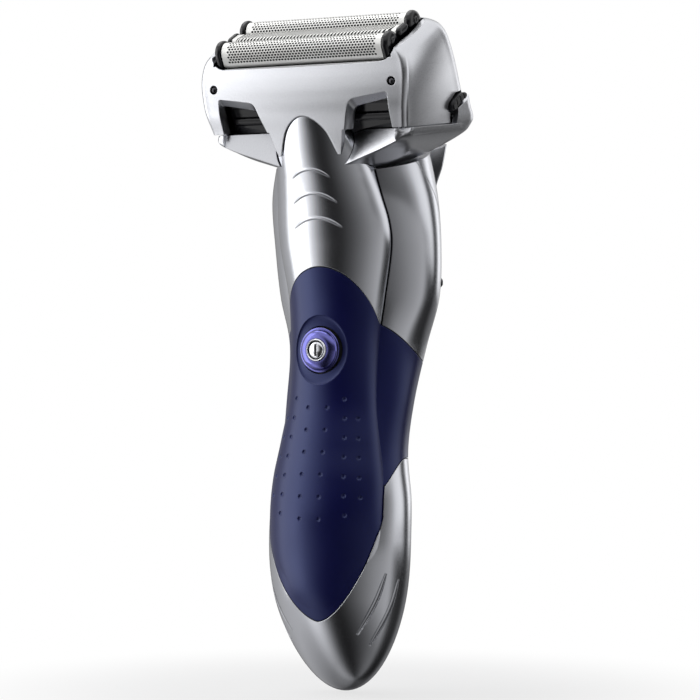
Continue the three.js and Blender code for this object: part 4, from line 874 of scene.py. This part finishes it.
def window_outline(side, corners):
    outline = []
    for k, (x, z, r) in enumerate(corners):
        if r:
            outline += [*bent((x, z), corners[k - 1][:2], corners[k + 1][:2], r, 8)]
        else:
            outline.append((x, z))
    return [(side * x, z) for x, z in outline][::side]


def window_prism(side):
    """The opening of a window, chamfered at the face."""
    outer, narrow = window_outline(side, WINDOW_FACE), window_outline(side, WINDOW_BACK)
    bend, bend_height = WINDOW_BEND

    def face_at(z):
        return bend + (bend_height - z) * (0.396 if z < bend_height else 0.15)

    return loft([[(x, -FAR, z) for x, z in outer], [(x, face_at(z) - 0.1, z) for x, z in outer],
                 [(x, face_at(z) + 1.7, z) for x, z in narrow], [(x, -13, z) for x, z in narrow]])


def tongue_prism(grow, y):
    """The frame's tongue between the windows, down onto the nose."""
    return front_prism([(-12 - grow, 138.4), (-8.3 - grow, 124.5 - grow), (8.3 + grow, 124.5 - grow),
                        (12 + grow, 138.4)], -FAR, y)


def rounded_outline(points, rounds=2):
    """Chaikin's corner cutting."""
    p = np.array(points, float)
    for _ in range(rounds):
        q = np.roll(p, -1, axis=0)
        p = np.stack([0.75 * p + 0.25 * q, 0.25 * p + 0.75 * q], 1).reshape(-1, 2)
    return p


def grown(points, grow):
    p = np.array(points, float)
    d = p - p.mean(axis=0)
    r = np.linalg.norm(d, axis=1)[:, None]
    return p.mean(axis=0) + d * (r + grow) / r


def across(points, side, x0, x1):
    return side_prism([tuple(p) for p in points], min(side * x0, side * x1), max(side * x0, side * x1))


def upright_reach(front, shift):
    """Where the tray's uprights stand, outside the frame's lower edge."""
    region = side_prism([(front, 120), (front, 136.0 - shift), (12, 139.7 - shift), (FAR, 140.5 - shift), (FAR, 120)])
    return region - block(-17.5 - shift, 17.5 + shift, -FAR, FAR, 0, OVER)


# ------------------------------------------------------------------ head: foil frame

def frame_ring(n, inset, corner=10, brow=48):
    """A section of the frame at the height n along its own axis."""
    w, front, back = float(frame_w(n)) - inset, float(frame_front(n)) + inset, float(frame_back(n)) - inset
    rf, rb = FRONT_CORNER - inset / 2, REAR_CORNER - inset / 2
    t = np.linspace(-1, 1, brow + 1)[1:-1]
    bulge = np.stack([(w - rf) * t, front - FRAME_CROWN * (1 - t * t)], 1)
    k = np.linspace(-1, 1, 13)[1:-1]
    middle, half = (front + rf + back - rb) / 2, (back - rb - front - rf) / 2
    side = np.stack([w + FRAME_SIDE_CROWN * (1 - k * k), middle + half * k], 1)
    return at_height(np.concatenate([
        side, rear_corners(w, back, rb, corner), side[::-1] * [-1, 1],
        rounded_corner(-w + rf, front + rf, rf, 180, corner), bulge,
        rounded_corner(w - rf, front + rf, rf, 270, corner)]), n)


def frame_form(heights, inset, corner=6, brow=16):
    return loft([frame_ring(n, inset, corner, brow) for n in heights]).moved(TO_HEAD)


notches = [across(grown(RELEASE_PAD, 0.6), side, RELEASE_OUTER - 4.6, FAR) for side in (1, -1)]
frame_outer = frame_form([*np.linspace(-37, -6, 50), *np.linspace(-5.8, 0, 30)], 0, 10, 48)
inner_rings = [frame_ring(n, FRAME_WALL, 6, 16) for n in [-39, *FRAME_SECTIONS[:, 0]]]
inner_form = loft([*inner_rings, inner_rings[-1] + [0, 0, 2.0]])
frame_inner = inner_form.moved(TO_HEAD)
reveal = ((frame_outer - inner_form.moved(TO_HEAD @ Matrix.Translation((0, 1.1, 0))))
          & block(-FAR, FAR, -FAR, 0, -17.4, -9.4).moved(TO_HEAD))
foil_room = block(-23.6, 23.6, -9.55, 9.55, -4.9, 2).moved(TO_HEAD)
dip = [(21, -2.5), (22.2, -2.2), (23.2, -1.6), (24.0, -0.6), (24.6, 1)]
front_dip = front_prism([*[(-x, n) for x, n in dip[::-1]], *dip], -16, -3).moved(TO_HEAD)
rear_dip = block(-22, 22, 9.4, 17.4, -1.6, 1.6).moved(TO_HEAD)
frame_part = ((frame_outer - frame_inner) | reveal) & (above_head_seam(0) | tongue_prism(0, -15))
ON_PIN = {side: Matrix.Translation((side * PIN_X, 0, PIN_HEIGHT)) @ Matrix.Rotation(math.pi / 2, 4, "X")
          for side in (1, -1)}
pin_holes = [rod(PIN_RADIUS + 0.25, 17.6, 30, 40, on_pin) for on_pin in ON_PIN.values()]
frame_part = frame_part.cut_by(window_prism(1), window_prism(-1), spine_grown, upright_reach(2.6, -GAP), *notches,
                               foil_room, front_dip, rear_dip, *pin_holes)
place(frame_part, "foil_frame_shell", "frame", "silver_head", ["foil_frame"], [frame_field], 30)
dome = [(PIN_RADIUS * math.cos(a), 22.0 + 0.7 * math.sin(a)) for a in np.linspace(0.2, 1.5, 8)]
for name, side in SIDES:
    stud = turned([(0, 18), (PIN_RADIUS, 18), (PIN_RADIUS, 22.0), *dome, (0, 22.7)], 32, ON_PIN[side])
    place(stud, f"frame_stud_{name}", "frame", "dark_steel", [f"frame_pin_{name}"], angle=50)

# ------------------------------------------------------------------ head: tray

def tray_ring(h, inset, corner=10):
    z = min(h, TRAY_TOP)
    w, front, back = float(tray_w(z)) - inset, float(tray_front(z)) + inset, float(tray_back(z)) - inset
    fh, shoulder = float(tray_fh(z)) - inset, float(tray_shoulder(z))
    facets = [(-w, shoulder), (-fh, front), (fh, front), (w, shoulder)]
    path = [(-w, 0), *facets, (w, 0)]
    return on_seam(np.concatenate([
        rear_corners(w, back, 7 - inset, corner),
        *[bent(p, path[k], path[k + 2], 1.2, 6) for k, p in enumerate(facets)]]), h)


def upright_ring(h, inset):
    w, back = float(upright_w(h)) - inset, float(upright_back(h)) - inset
    return on_seam([*rear_corners(w, back, 6.5 - inset, 14), [-w, -4], [w, -4]], h)


def sill(side):
    """In front of the facet that leans back below a window."""
    a, b, c = FACET
    n = np.cross(b - a, c - a)
    corners = []
    for x, z in ((6, 115.6), (22.8, 115.6), (22.8, 134.6), (6, 134.6)):
        y = a[1] - (n[0] * (x - a[0]) + n[2] * (z - a[2])) / n[1]
        corners += [(side * x, -FAR, z), (side * x, y, z)]
    return Solid.hull(corners)


tray_outer = loft([tray_ring(h, 0) for h in [*np.linspace(119.5, TRAY_TOP, 44), 133]])
tray_inner = loft([tray_ring(h, 1.6, 6) for h in [126.4, 127.9, TRAY_TOP, 137]])
below_frame = tray_outer - above_head_seam(-GAP)
under_windows = (sill(1), sill(-1), tongue_prism(GAP, -14.8))
cup = tray_outer.cut_by(tray_inner, *under_windows, above_head_seam(-GAP))
shelf = below_frame & (block(8, 22.8, -FAR, -13, 100, 140) | block(-22.8, -8, -FAR, -13, 100, 140))
shelf = shelf.cut_by(*under_windows, block(-22.2, 22.2, -10.2, 12, -40, -9).moved(TO_HEAD))
upright_form = loft([upright_ring(h, 0) for h in np.linspace(124.5, 139, 50)])
upright_room = loft([upright_ring(h, 1.4) for h in np.linspace(124, 140, 30)])
uprights = ((upright_form - upright_room) & upright_reach(4.8, 0)) & above_head_seam(-6)

port = rod(5.7, (POST_FOOT - HEAD_HEIGHT) / math.cos(HEAD_TILT) - 2, -12, 48, TO_HEAD)  # room for the boot
handle_grown = (body_form(-GAP, BODY_TOP, 72, 12, 36) | housing_form(GAP)) - above_roof(GAP)
lip_heights = np.linspace(-37, -9, 12)
lip_band = (above_head_seam(-1.6) - above_head_seam(1.4)) - block(-22.9, 22.9, -FAR, -11, 0, OVER)
lip = frame_form(lip_heights, FRAME_WALL + 0.3) | below_frame
lip = (lip - frame_form(lip_heights, FRAME_WALL + 0.95)) & lip_band
tray = ((cup | shelf) | uprights.cut_by(*notches)).cut_by(spine_grown, handle_grown, slab(0, 108), port)
tray = tray | lip.cut_by(*notches, spine_grown, handle_grown)
place(tray, "head_cup", "handle", "silver_head", ["head_tray"], [frame_field], 28, flat=0.6)

# Release pads with three grip ribs
pad_outline = rounded_outline(RELEASE_PAD)
for name, side in SIDES:
    pad = across(pad_outline, side, RELEASE_OUTER - 3.2, RELEASE_OUTER - 0.35)
    pad = pad | across(grown(pad_outline, -0.3), side, RELEASE_OUTER - 0.5, RELEASE_OUTER)
    for y, h in RIBS:
        pad = pad - tube([(side * RELEASE_OUTER, y - 0.55 * k, h + 1.3 * k) for k in (-1.6, -0.6, 0.6, 1.6)], 0.3)
    place(pad, f"release_pad_{name}", f"release_{name}", "black_plastic", [f"release_button_{name}"], angle=25)

# Head block with two rounded ledges across the windows
carrier = block(-21.9, 21.9, -9.9, 11.1, -33.35, -9.05).moved(TO_HEAD)
for n0, n1 in ((-12.2, -10.6), (-16.4, -14.8)):
    ledge = [(-9.9, n0 - 0.3), (-10.55, n0), (-10.75, n0 + 0.35), (-10.75, n1 - 0.35), (-10.55, n1),
             (-9.9, n1 + 0.3), (-9, n1), (-9, n0)]
    carrier = carrier | side_prism(ledge, -20.9, 20.9).moved(TO_HEAD)
block_room = loft([tray_ring(h, 1.9, 6) for h in [126.7, 127.9, TRAY_TOP, 137, HEAD_HEIGHT]]) | slab(133, OVER)
carrier = (carrier & block_room).cut_by(rod(3.65, -60, 0, 40, TO_HEAD), port, spine_grown)
place(carrier, "cutter_carrier", "handle", "black_plastic", ["head_block"], angle=30, look="black_gloss")

# ------------------------------------------------------------------ head: foils

class Sheet:
    """A thin sheet bent to a profile: profile(s) gives (v, n) and its outward normal at s along it."""

    def __init__(self, profile, thick):
        self.profile, self.thick = profile, thick
        self.verts, self.faces, self.index = [], [], {}

    def vert(self, u, s, deep):
        key = (round(u, 5), round(s, 5), deep)
        if key not in self.index:
            (v, n), (nv, nn) = self.profile(s)
            d = self.thick * deep
            self.index[key] = len(self.verts)
            self.verts.append((u, v - nv * d, n - nn * d))
        return self.index[key]

    def skin(self, *points):
        """The outer and inner skin over a patch between points (u, s)."""
        self.faces.append(tuple(self.vert(u, s, 0) for u, s in points))
        self.faces.append(tuple(self.vert(u, s, 1) for u, s in reversed(points)))

    def cell(self, u0, u1, s0, s1):
        self.skin((u0, s0), (u1, s0), (u1, s1), (u0, s1))

    def wall(self, p, q):
        """The cut edge from one point to the next."""
        self.faces.append((self.vert(*p, 0), self.vert(*p, 1), self.vert(*q, 1), self.vert(*q, 0)))

    def solid(self, centre=0.0):
        mesh = bpy.data.meshes.new("sheet")
        mesh.from_pydata(self.verts, [], self.faces)
        mesh.validate()
        return Solid(mesh).moved(TO_HEAD @ Matrix.Translation((0, centre, 0)))


def arch_at(s):
    """Up one leg, round the arch and down the other, from the front foot."""
    r = FOIL_RADIUS
    if s < FOIL_LEG:
        return (-r, -FOIL_LEG + s), (-1, 0)
    if s > FOIL_LEG + math.pi * r:
        return (r, -(s - FOIL_LEG - math.pi * r)), (1, 0)
    a = math.pi - (s - FOIL_LEG) / r
    return (r * math.cos(a), r * math.sin(a)), (math.cos(a), math.sin(a))


ARCH_LENGTH = 2 * FOIL_LEG + math.pi * FOIL_RADIUS
FOIL_LENGTH = 42.4
FOIL_END, FOIL_FOOT = 1.35, 1.1  # the plain margins
FOIL_CELLS, FOIL_ROWS = 50, 18
FOIL_CAP = ((21.5, 0.25), (21.6, 0.08), (21.8, 0), (22.2, 0), (22.5, 0.06), (22.75, 0.2), (22.95, 0.45), (23.1, 0.9))
SLIT_CAP = ((22.0, 0.2), (22.1, 0.05), (22.4, 0), (22.8, 0.1), (23.05, 0.35), (23.2, 0.8))  # both as x, inset
HOLE = [(-0.2871, -0.135), (0, -0.27), (0.2871, -0.135), (0.2871, 0.135), (0, 0.27), (-0.2871, 0.135)]


def perforated(centre):
    """A shaving foil: rows of six-sided holes, each row half a pitch on from the last."""
    sheet = Sheet(arch_at, 0.09)
    half = FOIL_LENGTH / 2
    start, end = -half + FOIL_END, half - FOIL_END
    pitch = (end - start) / FOIL_CELLS
    levels = [*np.linspace(FOIL_FOOT, ARCH_LENGTH - FOIL_FOOT, FOIL_ROWS + 1)]
    for k, (s0, s1) in enumerate(pairs(levels)):
        offset = pitch / 2 * (k % 2)
        for i in range(FOIL_CELLS - k % 2):
            u0 = start + offset + i * pitch
            um, sm, u1 = u0 + pitch / 2, (s0 + s1) / 2, u0 + pitch
            outer = [(u0, s0), (um, s0), (u1, s0), (u1, s1), (um, s1), (u0, s1)]
            inner = [(um + u, sm + s) for u, s in HOLE]
            for m in range(6):
                after = (m + 1) % 6
                sheet.skin(outer[m], outer[after], inner[after], inner[m])
                sheet.wall(inner[m], inner[after])
        if offset:
            sheet.cell(start, start + offset, s0, s1)
            sheet.cell(end - offset, end, s0, s1)
        sheet.cell(-half, start, s0, s1)
        sheet.cell(end, half, s0, s1)
    columns = [-half, *[start + i * pitch / 2 for i in range(2 * FOIL_CELLS + 1)], half]
    lower, upper = ([*np.linspace(s0, s1, 4)] for s0, s1 in ((0, levels[0]), (levels[-1], ARCH_LENGTH)))
    for u0, u1 in pairs(columns):
        for s0, s1 in [*pairs(lower), *pairs(upper)]:
            sheet.cell(u0, u1, s0, s1)
        sheet.wall((u0, 0), (u1, 0))
        sheet.wall((u1, ARCH_LENGTH), (u0, ARCH_LENGTH))
    for s0, s1 in pairs([*lower, *levels[1:-1], *upper]):
        sheet.wall((half, s0), (half, s1))
        sheet.wall((-half, s1), (-half, s0))
    return sheet.solid(centre)


for name, side in (("front", -1), ("rear", 1)):
    centre = side * FOIL_PITCH / 2
    place(perforated(centre), f"{name}_shaving_foil", f"{name}_foil_unit", "foil_steel", [f"{name}_foil"], angle=35)
    for end_name, end in SIDES:
        rings = []
        for u, inset in FOIL_CAP:
            r = 3.05 - inset
            outline = [*[(r * math.cos(a), r * math.sin(a)) for a in half_turn(33)], (-r, -FOIL_LEG), (r, -FOIL_LEG)]
            rings.append([(end * u, centre + v, n) for v, n in outline])
        knob = turned([(0, 22.0), (0.95, 22.0), (0.95, 23.15), (0.8, 23.32), (0.4, 23.38), (0, 23.38)], 28,
                      Matrix.Translation((0, centre, 0.6)) @ Matrix.Rotation(end * math.pi / 2, 4, "Y"))
        place((loft(rings) | knob).moved(TO_HEAD), f"{name}_foil_end_{end_name}", f"{name}_foil_unit",
              "black_gloss", [f"{name}_foil_cap_{end_name}"], angle=40)

SLIT_LEG, SLIT_HALF_WIDTH, SLIT_TOP, SLIT_CORNER = 3.3, 2.0, 1.7, 0.8
SLIT_FLAT = 2 * (SLIT_HALF_WIDTH - SLIT_CORNER)
SLIT_LENGTH = 2 * SLIT_LEG + math.pi * SLIT_CORNER + SLIT_FLAT


def channel_at(s):
    """Across the slit foil: up the front leg, over the rounded corners and down the rear leg."""
    half, top, r = SLIT_HALF_WIDTH, SLIT_TOP, SLIT_CORNER
    s -= SLIT_LENGTH / 2
    side = math.copysign(1, s)
    s = abs(s) - SLIT_FLAT / 2
    if s < 0:
        return (side * (s + half - r), top), (0, 1)
    a = min(s / r, math.pi / 2)
    leg = s - a * r
    return (side * (half - r + r * math.sin(a)), top - r + r * math.cos(a) - leg), (side * math.sin(a), math.cos(a))


def slit_sheet(half=21.9, slits=46, margin=1.2, solid_share=0.46):
    """The channel with slanted slits cut through it, built cell by cell."""
    sheet = Sheet(channel_at, 0.14)
    levels = [0, 1.0, *np.linspace(1.9, SLIT_LENGTH - 1.9, 25), SLIT_LENGTH - 1.0, SLIT_LENGTH]
    pitch = 2 * (half - margin) / slits
    columns = [-half, -half + margin]
    for k in range(slits):
        u = -half + margin + k * pitch
        columns += [u + solid_share * pitch, u + pitch]
    columns.append(half)
    nu, ns = len(columns) - 1, len(levels) - 1

    def opened(i, j):
        return 2 <= i < nu - 1 and i % 2 == 0 and 2 <= j < ns - 2

    def at(i, j):
        u, s = columns[i], levels[j]
        lean = (s - SLIT_LENGTH / 2) * 0.55 if 1 < i < nu - 1 else 0
        return u + lean * min(1, (half - abs(u)) / 3), s

    for i in range(nu):
        for j in range(ns):
            if opened(i, j):
                continue
            corners = [at(i, j), at(i + 1, j), at(i + 1, j + 1), at(i, j + 1)]
            sheet.skin(*corners)
            for k, (a, b) in enumerate(((i, j - 1), (i + 1, j), (i, j + 1), (i - 1, j))):
                if not (0 <= a < nu and 0 <= b < ns) or opened(a, b):
                    sheet.wall(corners[k], corners[(k + 1) % 4])
    return sheet.solid()


place(slit_sheet(), "centre_slit_foil", "slit_foil_unit", "foil_steel", ["slit_foil"], angle=35)
for end_name, end in SIDES:
    rings = []
    for u, inset in SLIT_CAP:
        outline = [channel_at(s) for s in np.linspace(SLIT_LENGTH, 0, 40)]
        rings.append([(end * u, v + nv * (0.5 - inset), n + nn * (0.35 - inset)) for (v, n), (nv, nn) in outline])
    place(loft(rings).moved(TO_HEAD), f"slit_foil_end_{end_name}", "slit_foil_unit", "black_gloss", angle=40)


def blade(centre, radius, top, half, low=-5.7):
    """An inner blade: thin ribs close together on a bar, with a pocket for the drive pin."""
    core = block(-19.9, 19.9, centre - half + 0.9, centre + half - 0.9, low, 0.2)
    base = block(-20.2, 20.2, centre - half, centre + half, low, low + 2.3)
    outline = [(centre + radius * math.cos(a), top - radius + radius * math.sin(a)) for a in half_turn(17)]
    outline += [(centre - radius, low + 2.0), (centre + radius, low + 2.0)]
    ribs = Solid.together([side_prism(outline, x - 0.14, x + 0.14) for x in np.arange(-19.7, 19.71, 0.94)])
    pocket = block(-1.05, 1.05, centre - 1.05, centre + 1.05, low - 1, low + 2.15)
    return (((core | base) | ribs) - pocket).moved(TO_HEAD)


# The inner blades take the near-black steel, which is painted shade under the foils.
for name, centre, radius, top, half in (("front", -FOIL_PITCH / 2, 1.95, 1.95, 1.85),
                                        ("rear", FOIL_PITCH / 2, 1.95, 1.95, 1.85), ("centre", 0, 1.3, 1.05, 1.35)):
    place(blade(centre, radius, top, half), f"{name}_cutter_comb", f"{name}_blade", "blade_steel",
          [f"{name}_inner_blade"], angle=30)

# ------------------------------------------------------------------ stage, light and camera

def rays(tree):
    """The light path, and 1 where a ray comes from the camera or through glass."""
    path = node(tree, "LightPath").outputs
    seen = node(tree, "Math", {0: path["Is Camera Ray"], 1: path["Is Transmission Ray"]}, operation="MAXIMUM")
    return path, seen.outputs[0]


def product(tree, a, b):
    return node(tree, "Math", {0: a, 1: b}, operation="MULTIPLY").outputs[0]


def mixed_shader(tree, share, a, b):
    return node(tree, "MixShader", {"Fac": share, 1: a.outputs[0], 2: b.outputs[0]}).outputs[0]


def mixed_colour(tree, share, a, b):
    """Inputs 6 and 7 and output 2 are the node's colours."""
    return node(tree, "Mix", {0: share, 6: a, 7: b}, data_type="RGBA").outputs[2]


FLOOR_HEIGHT = -0.0625  # metres, as are all places and sizes from here on
FLOOR_RADIUS = 0.6


def floor():
    """A pale round of floor: near the object it keeps the shadow, and it fades into the white background."""
    mesh = bpy.data.meshes.new("floor")
    circle = [(FLOOR_RADIUS * math.cos(a), FLOOR_RADIUS * math.sin(a), FLOOR_HEIGHT) for a in full_turn(96)]
    mesh.from_pydata(circle, [], [tuple(range(len(circle)))])
    material, tree, shader = new_material("floor_paper")
    feed(tree, shader, {"Base Color": (0.86, 0.86, 0.87, 1), "Roughness": 0.9})
    seen = rays(tree)[1]
    away = node(tree, "VectorMath", {0: node(tree, "TexCoord").outputs["Object"]}, operation="LENGTH").outputs["Value"]
    fade = ranged(tree, away, 0.066, 0.125, 0.72, 1, interpolation_type="SMOOTHSTEP")
    paper = mixed_shader(tree, product(tree, seen, fade), shader, node(tree, "Emission"))
    feed(tree, tree.nodes["Material Output"], {"Surface": paper})
    mesh.materials.append(material)
    o = bpy.data.objects.new("floor", mesh)
    bpy.context.scene.collection.objects.link(o)
    o.visible_glossy = False
    return o


def area_light(name, location, target, size, power):
    light = bpy.data.lights.new(name, "AREA")
    light.shape = "RECTANGLE"
    light.size, light.size_y = size
    light.energy = power
    o = bpy.data.objects.new(name, light)
    bpy.context.scene.collection.objects.link(o)
    o.location = location
    o.rotation_euler = (Vector(target) - Vector(location)).to_track_quat("-Z", "Y").to_euler()
    return o


# Brightness round the horizon, as azimuth in degrees from behind the object's left side, and level:
# above the horizon and a little below it
UPPER_STRIPS = [
    (-180, 0.95), (-168, 0.8), (-160, 0.22), (-138, 0.16), (-128, 0.4), (-106, 0.45), (-90, 0.6), (-62, 0.6),
    (-46, 1.1), (-40, 1.6), (-33, 1.5), (-28, 1.1), (-24, 0.75), (-17, 0.35), (-10, 0.06), (10, 0.02), (32, 0.08),
    (52, 0.14), (76, 0.22), (92, 0.5), (106, 1.05), (124, 1.25), (134, 1.05), (140, 0.5), (145, 0.1), (154, 0.08),
    (161, 0.4), (167, 1.5), (174, 1.6), (180, 0.95)]
LOWER_STRIPS = [
    (-180, 0.22), (-168, 0.2), (-160, 0.16), (-138, 0.16), (-128, 0.4), (-95, 0.6), (-62, 0.7), (-50, 1.3),
    (-44, 1.4), (-39, 1.1), (-34, 0.7), (-28, 0.3), (-21.6, 0.06), (-11, 0.02), (1, 0.035), (16, 0.1), (36, 0.22),
    (58, 0.38), (94, 0.6), (107, 0.2), (118, 0.05), (142, 0.03), (151, 0.05), (160, 0.12), (170, 0.2), (180, 0.22)]


def azimuth_ramp(tree, source, strips):
    ramp = node(tree, "ValToRGB", {"Fac": source})
    elements = ramp.color_ramp.elements
    elements.remove(elements[1])
    for k, (azimuth, value) in enumerate(strips):
        e = elements.new((azimuth + 180) / 360) if k else elements[0]
        e.color = (value, value, value * 1.01, 1)
    return ramp.outputs["Color"]


def studio_world():
    """White to the camera. What the object reflects is strips of light round it and a white ceiling."""
    world = bpy.data.worlds.new("studio")
    bpy.context.scene.world = world
    world.use_nodes = True
    tree = world.node_tree
    tree.nodes.clear()
    path, seen = rays(tree)
    axes = node(tree, "SeparateXYZ", {"Vector": node(tree, "TexCoord").outputs["Generated"]}).outputs
    turn = node(tree, "Math", {0: axes["X"], 1: product(tree, axes["Y"], -1.0)}, operation="ARCTAN2").outputs[0]
    azimuth = ranged(tree, turn, -math.pi, math.pi)
    sides = mixed_colour(tree, ranged(tree, axes["Z"], -0.03, -0.10), azimuth_ramp(tree, azimuth, UPPER_STRIPS),
                         azimuth_ramp(tree, azimuth, LOWER_STRIPS))
    room = mixed_colour(tree, ranged(tree, axes["Z"], 0.3, 0.6), sides, (1.0, 1.0, 1.01, 1))
    strength = product(tree, ranged(tree, path["Is Glossy Ray"], to_min=0.24),
                       ranged(tree, axes["Z"], -0.85, -0.55, to_min=0.4))
    soft = node(tree, "Background", {"Color": room, "Strength": strength})
    white = node(tree, "Background", {"Color": (1, 1, 1, 1), "Strength": 1.0})
    node(tree, "OutputWorld", {"Surface": mixed_shader(tree, seen, soft, white)})


lights = [
    area_light("key_left", (-0.79, -0.42, 0.16), (0, 0, 0.03), (0.62, 1.1), 3.4),
    area_light("top", (-0.22, 0.02, 0.8), (0, 0, 0), (0.7, 0.7), 2.2),
]
studio_world()
floor()

CAMERA_AZIMUTH = math.radians(30)
CAMERA_DISTANCE = 0.682
camera_data = bpy.data.cameras.new("camera")
camera_data.sensor_width = 36.0
camera_data.lens = 149.143
camera_data.clip_start = 0.05
camera = bpy.data.objects.new("camera", camera_data)
bpy.context.scene.collection.objects.link(camera)
target = Vector((0, 0, 0.0178))
camera.location = target + CAMERA_DISTANCE * Vector((math.sin(CAMERA_AZIMUTH), -math.cos(CAMERA_AZIMUTH), 0))
camera.rotation_euler = (target - camera.location).to_track_quat("-Z", "Y").to_euler()
bpy.context.scene.camera = camera

bpy.context.scene.view_settings.view_transform = "Standard"

bpy.data.collections.remove(scratch, do_unlink=True)
